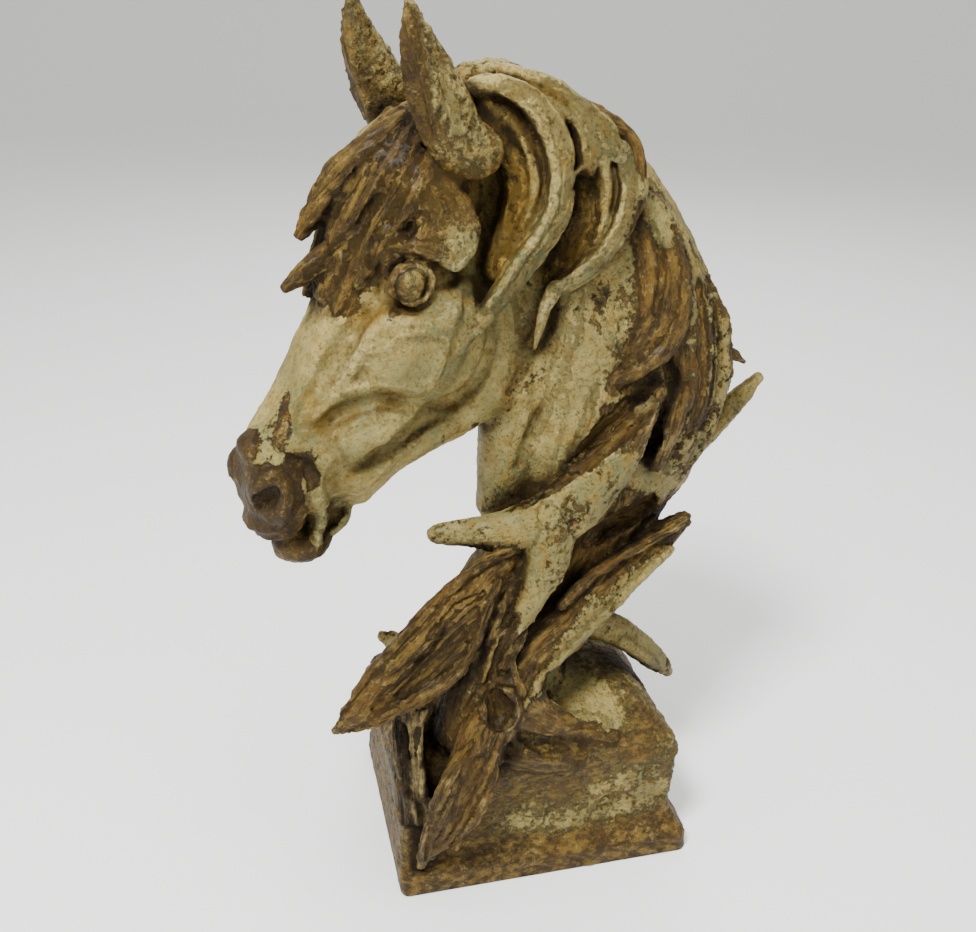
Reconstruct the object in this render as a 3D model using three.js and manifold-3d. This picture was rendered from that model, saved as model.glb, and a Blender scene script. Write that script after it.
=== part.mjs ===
// A horse's head and neck rising out of crossing driftwood limbs on a square plinth, cast as one
// piece. Millimetres, +Z up. The origin is the middle of the plinth's underside. The horse looks
// along -X, with its head turned a little toward -Y. Heights below are counted from the plinth's foot
// line, and the finished casting is lifted so that its underside lies at zero.
//
// The casting is worked like clay: tapering limbs, which are round sections carried along a curve,
// and rounded masses are joined on the plinth, and a few hollows are cut out of them.
// A limb's point is [x, y, z, radius]. Points of the head are [forward, side, up, radius], measured
// from the middle of the neck, with side positive on the side that the head turns to.

import * as THREE from 'three';
import { mergeVertices } from 'three/addons/utils/BufferGeometryUtils.js';
import Module from 'manifold-3d';

// driving dimensions
const PLINTH = {
  back: 80, front: 78, side: 62,         // half widths of the foot
  undersideZ: -8.5, waistZ: 24,          // heights of the flat underside, the hollow waist,
  shoulderZ: 60, topZ: 88,               // the shoulder and the top
};
const HEAD = { x: -52, y: -10, turn: 18 };  // middle of the neck behind the head, turn in degrees
const EAR = { side: 30, tipForward: 23, tipZ: 420.5, width: 13 };
const EYE = { forward: 25, side: 28.5, z: 312.5, radius: 7.5 };
const FINISH = { color: 0xb09a78, roughness: 0.62, metalness: 0 };

const SECTION_SIDES = 7;
const STEP = 2;                          // a limb's ring spacing, in radii

const wasm = await Module();
wasm.setup();

// ---------------------------------------------------------------- making solids

function solid(geometry) {
  const bare = geometry.index ? geometry.toNonIndexed() : geometry;
  bare.deleteAttribute('normal');
  bare.deleteAttribute('uv');
  const merged = mergeVertices(bare, 1e-3);
  return new wasm.Manifold(new wasm.Mesh({
    numProp: 3,
    vertProperties: new Float32Array(merged.attributes.position.array),
    triVerts: new Uint32Array(merged.index.array),
  }));
}

// A closed body through rings that all have the same number of points, ended by a fan at each tip.
function loft(rings, firstTip, lastTip) {
  const count = rings[0].length;
  const points = [firstTip, ...rings.flat(), lastTip];
  const last = points.length - 1;
  const index = [];
  for (let k = 0; k < count; k += 1) {
    const next = (k + 1) % count;
    index.push(0, 1 + next, 1 + k);
    for (let ring = 0; ring < rings.length - 1; ring += 1) {
      const low = 1 + ring * count;
      const high = low + count;
      index.push(low + k, low + next, high + next, low + k, high + next, high + k);
    }
    index.push(last, last - count + k, last - count + next);
  }
  const geometry = new THREE.BufferGeometry();
  geometry.setAttribute('position', new THREE.Float32BufferAttribute(
    points.flatMap((p) => [p.x, p.y, p.z]), 3));
  geometry.setIndex(index);
  return geometry;
}

// A tapering limb with rounded ends. flat below 1 thins it across, along the direction `across`.
function limb(points, { sides = SECTION_SIDES, flat = 1, across = new THREE.Vector3(0, 1, 0) } = {}) {
  const path = new THREE.CatmullRomCurve3(
    points.map(([x, y, z]) => new THREE.Vector3(x, y, z)), false, 'centripetal');
  const radii = new THREE.CatmullRomCurve3(
    points.map((p, k) => new THREE.Vector3(k, p[3], 0)), false, 'catmullrom');
  const spans = points.length - 1;
  const mean = points.reduce((sum, p) => sum + p[3], 0) / points.length;
  const wanted = Math.round(path.getLength() / (STEP * mean));
  const steps = Math.max(spans, Math.min(Math.round(1.6 * spans), wanted));
  const ringAt = (t, slide, scale) => {
    const tangent = path.getTangent(t);
    const radius = radii.getPoint(t).y;
    const wide = new THREE.Vector3().crossVectors(tangent, across).normalize();
    const thin = new THREE.Vector3().crossVectors(wide, tangent).normalize();
    const middle = path.getPoint(t).addScaledVector(tangent, slide * radius);
    return Array.from({ length: sides }, (_, k) => {
      const angle = (2 * Math.PI * (k + 0.5)) / sides;
      return middle.clone()
        .addScaledVector(wide, Math.cos(angle) * radius * scale)
        .addScaledVector(thin, -Math.sin(angle) * radius * scale * flat);
    });
  };
  const rings = [ringAt(0, -0.6, 0.75)];
  for (let k = 0; k <= steps; k += 1) rings.push(ringAt(k / steps, 0, 1));
  rings.push(ringAt(1, 0.6, 0.75));
  const tip = (t, slide) => path.getPoint(t)
    .addScaledVector(path.getTangent(t), slide * radii.getPoint(t).y);
  return solid(loft(rings, tip(0, -1), tip(1, 1)));
}

// A rounded mass: a ball stretched to three radii and tilted nose down.
function mass(centre, radii, { turn = 0, tilt = 0, detail = 9 } = {}) {
  const ball = new THREE.SphereGeometry(1, detail, Math.round(detail * 0.7));
  ball.rotateX(Math.PI / 2);
  ball.scale(...radii);
  ball.rotateY(THREE.MathUtils.degToRad(tilt));
  ball.rotateZ(THREE.MathUtils.degToRad(turn));
  ball.translate(...centre);
  return solid(ball);
}

// ---------------------------------------------------------------- the head's own frame

const turned = THREE.MathUtils.degToRad(180 + HEAD.turn);
const FORWARD = new THREE.Vector3(Math.cos(turned), Math.sin(turned), 0);
const SIDE = new THREE.Vector3(-Math.sin(turned), Math.cos(turned), 0);

const inHead = ([forward, side, up, radius]) => [
  HEAD.x + forward * FORWARD.x + side * SIDE.x,
  HEAD.y + forward * FORWARD.y + side * SIDE.y,
  up, radius];
const mirror = (points) => points.map(([forward, side, up, radius]) => [forward, -side, up, radius]);
const headLimb = (points, options = {}) => limb(
  points.map(inHead), { across: SIDE, sides: 6, ...options });
const bothLimbs = (points, options) => [headLimb(points, options), headLimb(mirror(points), options)];
const headMass = (centre, radii, options = {}) => mass(
  inHead([...centre, 0]).slice(0, 3), radii, { turn: 180 + HEAD.turn, ...options });
const bothMasses = ([forward, side, up], radii, options) => [
  headMass([forward, side, up], radii, options), headMass([forward, -side, up], radii, options)];

// ---------------------------------------------------------------- plinth

// A square block with a flared foot, a hollow waist, and a top that mounds up to the roots. The
// flare dies out on the front, where the roots hang over it.
function plinth() {
  const chamfer = 5;
  const levels = [
    [PLINTH.undersideZ, 0, 0], [3, 0, 0], [14, 7.5, 1], [PLINTH.waistZ, 9, 2],
    [PLINTH.shoulderZ - 4, 7, -1],
    [PLINTH.shoulderZ + 4, 10, 3], [80, 24, 15], [PLINTH.topZ, 44, 34]];
  const rings = levels.map(([z, inset, frontInset]) => {
    const back = PLINTH.back - inset;
    const front = PLINTH.front - frontInset;
    const side = PLINTH.side - inset * 0.85;
    return [
      [back, -side + chamfer], [back, side - chamfer], [back - chamfer, side],
      [-front + chamfer, side], [-front, side - chamfer], [-front, -side + chamfer],
      [-front + chamfer, -side], [back - chamfer, -side],
    ].map(([x, y]) => new THREE.Vector3(x, y, z));
  });
  return solid(loft(rings, new THREE.Vector3(0, 0, PLINTH.undersideZ),
    new THREE.Vector3(0, 0, PLINTH.topZ)));
}

// ---------------------------------------------------------------- neck

const neck = () => [
  limb([[22, 0, 146, 45], [27, 0, 190, 50], [36, 0, 230, 61], [30, 0, 270, 62],
    [9, 0, 312, 58], [-10, -2, 345, 41], [-30, -6, 352, 33]], { flat: 0.54, sides: 10 }),
  limb([[30, 0, 185, 36], [12, -3, 150, 36], [-10, -5, 118, 36], [-22, -6, 80, 40]],
    { sides: 8 }),
  limb([[-16, -8, 190, 13], [-14, -10, 225, 14], [-14, -12, 262, 15], [-6, -10, 300, 15]]),
  // bark standing proud along the back of the neck
  limb([[44, -12, 340, 6], [58, -15, 314, 12], [68, -18, 282, 15], [72, -19, 246, 16],
    [67, -18, 212, 10]], { flat: 0.8 }),
  limb([[76, -6, 304, 5], [87, -10, 281, 7], [90, -12, 246, 8], [75, -14, 202, 6]], { sides: 6 }),
  limb([[52, 16, 322, 9], [68, 18, 288, 13], [74, 18, 250, 15], [67, 18, 214, 10]], { flat: 0.8 }),
  // the plate of bare wood in front of it, broken off along its foot
  limb([[34, -22, 342, 7], [46, -21, 324, 12], [51, -22, 300, 15], [44, -25, 272, 10],
    [28, -34, 262, 4]], { flat: 0.78, sides: 6 }),
];

// ---------------------------------------------------------------- head

const skull = () => [
  headMass([8, 0, 346], [29, 27, 29]),
  headMass([19, 0, 322], [26, 31, 27]),
  ...bothLimbs([[25, 7, 322, 17], [38, 7, 291, 16], [57, 7, 264, 13], [78, 5, 238, 11.5]]),
  ...bothLimbs([[16, 14, 304, 18], [30, 13, 274, 17], [48, 10, 244, 15], [64, 7, 224, 15]]),
  ...bothLimbs([[2, 19, 296, 16], [14, 18, 272, 15], [30, 14, 250, 15], [46, 9, 226, 14]]),
  ...bothMasses([-4, 13, 283], [46, 17, 48]),
  ...bothLimbs([[-20, 15, 254, 12], [0, 14, 243, 11], [26, 11, 231, 10.5], [42, 6, 216, 10]]),
];

const muzzle = () => [
  headMass([77, 0, 222], [17, 18, 22]),
  ...bothMasses([81, 10, 222], [13, 12, 18], { tilt: 22, detail: 8 }),
  headMass([87, 0, 241], [6.5, 9, 7], { detail: 7 }),
  headMass([78, 0, 206], [15, 16, 11], { detail: 8 }),
  headMass([67, 0, 191], [15, 14, 11], { detail: 8 }),
  headMass([54, 0, 203], [12, 13, 12], { detail: 8 }),
];

const nostrils = () => bothMasses([89, 19, 224], [4, 4, 7], { tilt: -28, detail: 8 });
const mouth = () => headLimb(
  [[68, 22, 220, 2], [80, 16, 203, 2.2], [96, 0, 198, 2.2], [80, -16, 203, 2.2], [68, -22, 220, 2]],
  { sides: 6, across: new THREE.Vector3(0, 0, 1) });

const eyes = () => {
  const { forward, side, z, radius } = EYE;
  return [
    ...bothMasses([forward, side, z], [radius + 0.5, radius, radius], { detail: 8 }),
    // upper lid and the heavy fold of the brow
    ...bothLimbs([[forward + 12, side, z - 2, 2.2], [forward - 1, side + 8, z + 10, 3.8],
      [forward - 16, side + 2, z - 2, 2.4]], { sides: 6 }),
    ...bothLimbs([[2, 25, 346, 6], [-3, 31, 331, 6], [14, 31, 331, 6], [28, 28, 332, 5]],
      { sides: 6 }),
  ];
};

const ears = () => {
  const { side, tipForward, tipZ, width } = EAR;
  return bothLimbs([[-4, side - 7, 352, 12], [0, side - 1, 365, 14], [10, side, 381, width],
    [16, side, 394, width - 2], [tipForward, side - 1, tipZ - 1.2, 1.2]], { flat: 0.72 });
};
const earHollows = () => bothLimbs([[22, 33, 374, 4], [28, 33, 386, 7], [30, 31, 406, 4]],
  { sides: 6 });

// locks of hair hanging over the forehead, each tapering to a point
const forelock = () => [
  [[6, 6, 366, 16], [22, 8, 352, 16.5], [34, 6, 334, 14.5], [50, 2, 306, 6]],
  [[10, 8, 374, 6], [24, 8, 367, 8], [37, 3, 356, 8.5], [53, -4, 335, 5.5], [58, -4, 329, 3]],
  [[12, 14, 368, 6], [27, 12, 352, 8], [36, 8, 336, 8], [56, 2, 316, 5.5], [67, 0, 309, 3]],
  [[10, -10, 372, 6], [24, -12, 354, 7.5], [36, -12, 336, 7], [54, -10, 302, 2.5]],
].map((points) => headLimb(points, { sides: 6 }));

// the crest of the cheek bone
const cheeks = () => bothLimbs([[10, 33, 300, 3.4], [38, 27, 280, 3.4], [52, 23, 270, 2.8]]);

// ---------------------------------------------------------------- mane

const mane = () => [
  // near side: long locks that swing out like a C and run down to a tip
  [[-37, -33, 387, 3], [-16, -38, 383, 5.6], [-2, -38, 360, 7], [-3, -39, 336, 7],
    [-17, -41, 317, 6.6], [-32, -42, 298, 5], [-46, -43, 280, 2]],
  [[4, -28, 381, 3.4], [20, -33, 367, 5.6], [29, -34, 345, 5.8], [24, -36, 325, 5.6],
    [6, -38, 309, 4.6], [-6, -37, 293, 2.6], [-9, -35, 277, 1.4]],
  [[-22, -26, 391, 4.4], [1, -32, 381, 6.4], [11, -34, 363, 5.4], [3, -38, 348, 3]],
  [[8, -25, 379, 4.4], [31, -30, 363, 6.4], [34, -34, 343, 5.4], [27, -36, 324, 3]],
  // the body of the mane under them
  [[-30, -24, 382, 9.5], [-14, -26, 360, 11.5], [-14, -29, 332, 11], [-24, -32, 313, 8]],
  [[2, -20, 376, 9.5], [19, -22, 352, 13], [12, -26, 322, 10.5], [3, -29, 308, 6]],
  // the crest, over the top of the neck
  [[-33, -5, 386, 8], [-12, -4, 383, 9.5], [9, -6, 369, 9.5], [34, -9, 349, 8.5],
    [43, -16, 329, 4]],
  // far side, plainer
  [[-30, 22, 383, 6.4], [-8, 30, 368, 9], [-4, 33, 338, 9], [-20, 33, 300, 7], [-28, 31, 270, 3]],
  [[-2, 16, 376, 7.4], [20, 25, 352, 9], [27, 30, 320, 8.5], [6, 32, 258, 2.5]],
  [[14, 12, 360, 6.4], [38, 23, 322, 9], [30, 31, 266, 2.5]],
].map((points) => limb(points, { sides: 6, flat: 0.85 }));

// ---------------------------------------------------------------- driftwood limbs

const nearLimbs = () => [
  // pale limb across the throat, with a prong that runs up the neck and another down
  limb([[-52, -30, 186, 5], [-38, -33, 187, 7.4], [1, -38, 192, 15.5], [31, -38, 221, 12],
    [51, -38, 254, 4]], { flat: 0.88 }),
  limb([[1, -40, 195, 11.2], [-3, -45, 172, 10.5], [-14, -50, 148, 5.8], [-20, -52, 139, 3.2]]),
  // broad plank from the back of the neck down to the front of the plinth
  limb([[77, -20, 174, 6], [66, -22, 168, 9.4], [40, -28, 152, 14.5], [8, -38, 130, 16],
    [-23, -52, 106, 13.5], [-37, -58, 89, 11.5]], { flat: 0.78 }),
  // leaf-shaped plank pointing forward and down
  limb([[-20, -40, 172, 9], [-36, -45, 162, 14], [-58, -52, 143, 17.5], [-83, -55, 119, 13],
    [-106, -57, 101, 4]], { flat: 0.66 }),
  // stub toward the front, and the branches behind
  limb([[-73, 10, 105, 3.4], [-60, 4, 99, 6.8], [-40, 0, 93, 8]], { sides: 6 }),
  limb([[127, 12, 236, 2.8], [100, 12, 208, 7.6], [82, 10, 195, 7], [45, 6, 170, 7]]),
  limb([[116, 8, 247, 1.8], [108, 8, 252, 4.3], [90, 8, 255, 5.5]], { sides: 6 }),
  limb([[87, 0, 65, 3], [74, -4, 81, 7.2], [54, -6, 100, 8.5], [30, -8, 115, 10]]),
];

const roots = () => [
  [[-24, -56, 110, 9.5], [-34, -63, 92, 12.5], [-44, -65, 67, 13.5], [-56, -65, 42, 11],
    [-68, -64, 14, 3.4]],
  [[-38, -56, 112, 8], [-58, -60, 84, 9], [-66, -64, 50, 7], [-70, -64, 22, 4]],
  [[-10, -32, 160, 15], [-30, -40, 126, 16], [-44, -46, 84, 15]],
  [[-18, -52, 100, 11.5], [4, -54, 84, 9], [34, -48, 71, 3.4]],
  [[-14, -56, 72, 10.5], [4, -52, 64, 9.5], [18, -50, 58, 6]],
  [[-75, -54, 108, 3.6], [-77, -57, 76, 4.2], [-78, -58, 30, 3.6]],
].map((points) => limb(points, { sides: 6 }));

// the far side, plainer
const farLimbs = () => [
  [[-2, 34, 182, 6.4], [14, 36, 203, 10], [32, 36, 226, 9.5], [48, 34, 246, 5]],
  [[66, 24, 150, 5], [37, 31, 143, 12], [4, 40, 124, 13.5], [-30, 52, 88, 9.5], [-48, 58, 46, 3]],
  [[-2, 38, 178, 8], [20, 40, 158, 11.5], [50, 50, 108, 9.5], [62, 56, 68, 3]],
].map((points) => limb(points, { sides: 6 }));

// weathered hollows: above the pale limb, between the two planks, and the knot hole
const hollows = () => [
  limb([[45, -32, 221, 6], [54, -32, 227, 5]], { sides: 6 }),
  limb([[53, -26, 186, 6], [23, -38, 177, 4.5]], { sides: 6 }),
  mass([-30, -68, 110], [6, 7, 7], { detail: 8 }),
];

// ---------------------------------------------------------------- one casting

function casting() {
  const added = [plinth(), ...neck(), ...skull(), ...muzzle(), ...eyes(), ...ears(), ...forelock(),
    ...cheeks(), ...mane(), ...nearLimbs(), ...roots(), ...farLimbs()];
  const cuts = [...nostrils(), mouth(), ...earHollows(), ...hollows()];
  let body = added.reduce((sum, piece) => sum.add(piece));
  body = cuts.reduce((rest, piece) => rest.subtract(piece), body);
  body = body.translate([0, 0, -PLINTH.undersideZ]);
  // the outer skin is the largest piece: the rest are gaps sealed in between the limbs
  const skins = body.decompose().sort((a, b) => b.volume() - a.volume());
  return skins[0].getMesh();
}

function toGeometry(mesh) {
  const geometry = new THREE.BufferGeometry();
  geometry.setAttribute('position', new THREE.BufferAttribute(
    new Float32Array(mesh.vertProperties), 3));
  geometry.setIndex(new THREE.BufferAttribute(new Uint32Array(mesh.triVerts), 1));
  geometry.computeVertexNormals();
  return geometry;
}

const sculpture = new THREE.Mesh(
  toGeometry(casting()),
  new THREE.MeshStandardMaterial(FINISH));
sculpture.name = 'horse_head_sculpture';

const part = new THREE.Group();
part.add(sculpture);

export default part;
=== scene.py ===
import math

import bpy
import numpy as np
from mathutils import Matrix, Vector


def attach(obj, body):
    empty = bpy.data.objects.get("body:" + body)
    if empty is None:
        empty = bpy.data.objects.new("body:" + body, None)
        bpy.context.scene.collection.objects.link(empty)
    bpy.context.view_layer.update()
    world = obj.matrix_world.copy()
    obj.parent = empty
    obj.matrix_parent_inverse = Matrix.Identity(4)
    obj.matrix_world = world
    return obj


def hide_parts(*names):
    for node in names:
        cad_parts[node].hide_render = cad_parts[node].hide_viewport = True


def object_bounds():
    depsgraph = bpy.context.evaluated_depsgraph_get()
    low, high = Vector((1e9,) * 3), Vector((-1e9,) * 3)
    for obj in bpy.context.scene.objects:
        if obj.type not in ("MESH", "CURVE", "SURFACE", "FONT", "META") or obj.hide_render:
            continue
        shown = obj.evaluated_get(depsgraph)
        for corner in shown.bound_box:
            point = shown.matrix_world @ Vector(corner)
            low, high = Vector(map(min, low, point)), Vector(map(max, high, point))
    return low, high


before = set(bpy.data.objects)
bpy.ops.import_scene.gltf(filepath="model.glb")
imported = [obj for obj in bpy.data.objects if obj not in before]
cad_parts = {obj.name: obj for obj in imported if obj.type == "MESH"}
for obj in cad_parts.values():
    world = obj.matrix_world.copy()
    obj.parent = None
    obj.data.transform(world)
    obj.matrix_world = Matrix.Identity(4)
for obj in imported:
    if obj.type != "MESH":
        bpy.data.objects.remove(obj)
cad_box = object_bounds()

# ------------------------------------------------------------------ the clay and the plinth
# The whole work is one casting from a clay original, so it is modelled as clay: a block of space
# that holds the distance to the surface, below zero inside, into which each lump is pressed with
# a soft seam. The plinth is the first lump, a square block with a flared foot and hollow waist.

MM = 0.001
CLAY_STEP = 1.0
LOW, HIGH = (np.array(corner) / MM for corner in cad_box)
PLINTH_SIDE, PLINTH_BACK, PLINTH_FRONT = 62, 80, 78
PLINTH_TOP, PLINTH_CORNER, PLINTH_EDGE = 88, 5, 12
UNDERSIDE = -8.5
EMPTY = 50


def soft_union(a, b, seam):
    overlap = np.maximum(seam - np.abs(a - b), 0) / seam
    return np.minimum(a, b) - overlap * overlap * seam * 0.25


class Clay:
    """Distances to the surface on an even grid, in millimetres."""

    def __init__(self, low, high, step):
        self.low, self.step = low.astype(np.float32), step
        count = np.ceil((high - low) / step).astype(int) + 1
        self.field = np.full(count, EMPTY, np.float32)
        self.axes = [self.low[k] + step * np.arange(count[k], dtype=np.float32) for k in range(3)]

    def window(self, low, high, margin):
        first = np.floor((low - margin - self.low) / self.step).astype(int)
        last = np.ceil((high + margin - self.low) / self.step).astype(int) + 1
        cut = tuple(slice(max(a, 0), max(b, 0)) for a, b in zip(first, last))
        x, y, z = (axis[piece] for axis, piece in zip(self.axes, cut))
        return cut, (x[:, None, None], y[None, :, None], z[None, None, :])

    def press(self, lump):
        cut, place = self.window(lump["low"], lump["high"], lump["seam"] + 2 * self.step)
        distance = lump["distance"](*place)
        here = self.field[cut]
        if lump["carve"]:
            self.field[cut] = -soft_union(-here, distance, lump["seam"])
        else:
            self.field[cut] = soft_union(here, distance, lump["seam"])

    def settled(self, points, out, repeats=12, probe=1.5, stride=0.8):
        """The points moved onto the surface, then out of it by some millimetres."""
        points = points.copy()
        for repeat in range(repeats):
            slope = np.stack([self.depth_at(points + step) - self.depth_at(points - step)
                              for step in np.eye(3) * probe], axis=1)
            slope /= np.linalg.norm(slope, axis=1)[:, None] + 1e-6
            points -= slope * stride * self.depth_at(points)[:, None]
        return points + slope * out

    def depth_at(self, points):
        """The distance at any points, blended between the grid's own."""
        spot = np.clip((points - self.low) / self.step, 0, np.array(self.field.shape) - 1.001)
        cell = spot.astype(int)
        part = spot - cell
        total = np.zeros(len(points), np.float32)
        for corner in np.ndindex(2, 2, 2):
            share = np.prod(np.where(corner, part, 1 - part), axis=1)
            total += share * self.field[tuple((cell + corner).T)]
        return total


clay = Clay(LOW - 8 + [0, 0, UNDERSIDE], HIGH + 8 + [0, 0, UNDERSIDE], CLAY_STEP)


def plinth_distance(x, y, z):
    level = z[0, 0]
    heights = [UNDERSIDE, 3, 14, 24, 56, 64, 80, 95]
    inset = np.interp(level, heights, [0, 0, 7.5, 9, 7, 10, 24, 46])
    front_inset = np.interp(level, heights, [0, 0, 1, 2, -1, 3, 15, 36])
    right, left = x - (PLINTH_BACK - inset), -x - (PLINTH_FRONT - front_inset)
    out_x = np.maximum(right, left)
    out_y = np.abs(y) - (PLINTH_SIDE - 0.85 * inset)
    over = np.hypot(np.maximum(out_x + PLINTH_CORNER, 0), np.maximum(out_y + PLINTH_CORNER, 0))
    walls = over + np.minimum(np.maximum(out_x, out_y) + PLINTH_CORNER, 0) - PLINTH_CORNER
    return -soft_union(-walls, -(z - PLINTH_TOP) + 0 * walls, PLINTH_EDGE)


block = np.array([PLINTH_BACK + 5, PLINTH_SIDE + 5, 105])
clay.press(dict(distance=plinth_distance, low=-block * [1, 1, 0.2], high=block, seam=6, carve=False))

# ------------------------------------------------------------------ neck
# A deep arched neck, thin from side to side, cast in one with the plinth. The near face is pale
# and peeling, and slabs of bark stand proud along its back edge.

# each kind of surface from 0 to 1: how bare of paint, how stained, how fibrous, and how finely
# rubbed its paint is, rather than flaked
FINISHES = {
    "plaster": (0.10, 0.20, 0.16, 0.2),
    "peeling": (0.29, 0.30, 0.38, 0.6),
    "pale bark": (0.34, 0.35, 0.80, 0.6),
    "bark": (0.86, 0.35, 1.00, 0.4),
    "flaking bark": (0.49, 0.30, 0.90, 0.1),
    "rotten": (0.95, 0.05, 1.00, 0.2),
    "hair": (0.08, 0.34, 0.50, 0.9),
    "brown hair": (0.88, 0.20, 0.80, 0.6),
    "mane hollow": (0.34, 0.75, 0.55, 0.7),
    "stained": (0.42, 0.90, 0.30, 1.0),
    "worn plate": (0.80, 0.30, 0.42, 0.5),
    "eye": (0.45, 0.80, 0.04, 1.0),
    "muzzle": (0.95, 0.05, 0.20, 0.3),
}


def curve_through(points):
    """A smooth line through points, with three steps between each pair."""
    points = np.array(points, float)
    before = np.vstack([2 * points[0] - points[1], points[:-2]])
    after = np.vstack([points[2:], 2 * points[-1] - points[-2]])
    start, end = points[:-1], points[1:]
    steps = []
    for t in (0, 1 / 3, 2 / 3):
        steps.append(0.5 * (2 * start + (end - before) * t
                            + (2 * before - 5 * start + 4 * end - after) * t ** 2
                            + (3 * start - before - 3 * end + after) * t ** 3))
    line = np.stack(steps, axis=1).reshape(-1, 4)
    return np.vstack([line, points[-1]])


def limb_distance(line, flat, across):
    """Distance to a tapering round limb, thinned along the direction across if flat is below 1."""
    squeeze = 1 / flat - 1

    def distance(x, y, z):
        nearest = None
        for a, b in zip(line[:-1], line[1:]):
            run = b[:3] - a[:3]
            px, py, pz = x - a[0], y - a[1], z - a[2]
            t = np.clip((px * run[0] + py * run[1] + pz * run[2]) / max(run @ run, 1e-6), 0, 1)
            px, py, pz = px - t * run[0], py - t * run[1], pz - t * run[2]
            sideways = px * across[0] + py * across[1] + pz * across[2]
            stretched = np.sqrt(px * px + py * py + pz * pz
                                + (squeeze * squeeze + 2 * squeeze) * sideways * sideways) + 1e-6
            steep = np.sqrt(1 + (1 / flat ** 2 - 1) * (sideways / flat / stretched) ** 2)
            here = (stretched - (a[3] + t * (b[3] - a[3]))) / steep
            nearest = here if nearest is None else np.minimum(nearest, here)
        return nearest
    return distance


lumps = []


def press_in(**lump):
    """Presses a lump into the clay, and keeps it for the painting later."""
    clay.press(lump)
    lumps.append(lump)


def limb(points, seam=4, finish="plaster", flat=1, across=(0, 1, 0), carve=False, rest=None):
    """Presses in a limb. Each point is x, y, z and radius. With rest, the limb is first moved
    onto the surface, and then that far out of it."""
    line = curve_through(points)
    if rest is not None:
        line[:, :3] = clay.settled(line[:, :3], rest)
    reach = line[:, 3].max()
    press_in(distance=limb_distance(line, flat, np.array(across)), seam=seam, carve=carve,
             low=line[:, :3].min(0) - reach, high=line[:, :3].max(0) + reach,
             finish=finish, line=line, across=np.array(across))


limb([[22, 0, 150, 44], [27, 0, 190, 49], [36, 0, 230, 60], [30, 0, 270, 61], [9, 0, 312, 57],
      [-10, -2, 345, 40], [-30, -6, 352, 32]], seam=8, finish="peeling", flat=0.52)
limb([[30, 0, 185, 34], [12, -3, 150, 34], [-10, -5, 118, 34], [-22, -6, 80, 38]],
     seam=10, finish="bark")
# the gullet, and the muscles that swell along both sides
limb([[-16, -8, 190, 12], [-14, -10, 225, 13], [-14, -12, 262, 14], [-6, -10, 300, 14]],
     seam=8, finish="peeling")
for side in (-1, 1):
    limb([[20, 18 * side, 200, 18], [24, 18 * side, 250, 18], [10, 16 * side, 300, 16]],
         seam=10, finish="peeling")
# bark along the back, near side, then far side
limb([[44, -12, 340, 6], [57, -16, 314, 12], [67, -19, 282, 15], [71, -20, 246, 15],
      [66, -19, 212, 10]], seam=4, finish="flaking bark", flat=0.8)
# a wide plate of bare wood between the mane and the back, broken off along its foot
limb([[34, -22, 342, 7], [46, -21, 324, 12], [51, -22, 302, 14], [49, -24, 284, 12],
      [40, -27, 270, 8]], seam=3, finish="worn plate", flat=0.75)
limb([[47, -20, 338, 2.4], [58, -26, 318, 3], [62, -29, 296, 3.6], [58, -32, 276, 4],
      [46, -35, 264, 3.6], [30, -37, 260, 2.6]], seam=5, finish="worn plate")
limb([[75, -6, 304, 5], [86, -10, 281, 7], [91, -11, 258, 8], [88, -13, 236, 8],
      [82, -14, 216, 7], [74, -14, 200, 5]], seam=3, finish="flaking bark")
for split in (
        [[70, -26, 300, 1.4], [74, -30, 276, 2.4], [76, -31, 250, 2.6], [73, -31, 226, 1.8]],
        [[80, -22, 290, 1.2], [83, -26, 266, 2.2], [82, -27, 240, 2.2], [78, -26, 216, 1.4]],
        [[58, -33, 262, 2], [62, -34, 246, 3], [58, -34, 230, 2.6]],
        [[44, -33, 330, 1], [50, -34, 310, 1.4], [48, -36, 290, 1.2]]):
    limb(split, rest=0.5, seam=2.4, finish="bark", carve=True)
# the fold behind the jowl and the long creases of the near side
for crease in (
        [[-2, -38, 303, 1.6], [-4, -37, 288, 2.6], [-10, -35, 272, 3], [-18, -29, 256, 2.6],
         [-26, -24, 244, 1.6]],
        [[6, -36, 286, 1.2], [2, -35, 262, 1.8], [-6, -32, 236, 1.8], [-12, -28, 214, 1.2]],
        [[22, -36, 262, 1.2], [16, -37, 240, 2], [8, -37, 222, 1.8]]):
    limb(crease, rest=0.4, seam=3, finish="peeling", carve=True)
limb([[9, -36, 300, 1.4], [6, -35, 280, 2.2], [0, -34, 256, 2.4], [-6, -32, 232, 1.6]],
     rest=-0.8, seam=3, finish="peeling")
limb([[66, -28, 250, 5], [60, -32, 232, 6], [55, -32, 214, 5]], seam=3, finish="bark")
limb([[52, 16, 322, 9], [68, 18, 288, 12], [74, 18, 250, 14], [67, 18, 214, 10]],
     seam=6, finish="bark")

# ------------------------------------------------------------------ head
# A fine-boned head turned a little to the near side, in pale paint, cast with the neck. It is
# worked in its own directions: forward, to the side and up from the middle of the neck.

HEAD_X, HEAD_Y = -52, -10
HEAD_TURN = math.radians(198)
FORWARD = np.array([math.cos(HEAD_TURN), math.sin(HEAD_TURN), 0])
SIDE = np.array([-math.sin(HEAD_TURN), math.cos(HEAD_TURN), 0])


def in_head(points, mirrored=False):
    points = np.array(points, float)
    side = -points[:, 1:2] if mirrored else points[:, 1:2]
    placed = np.array([HEAD_X, HEAD_Y, 0]) + points[:, :1] * FORWARD + side * SIDE
    placed[:, 2] = points[:, 2]
    return np.hstack([placed, points[:, 3:]])


def head_limb(points, both=True, **clay_work):
    for mirrored in ((False, True) if both else (False,)):
        limb(in_head(points, mirrored), across=SIDE, **clay_work)


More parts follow.
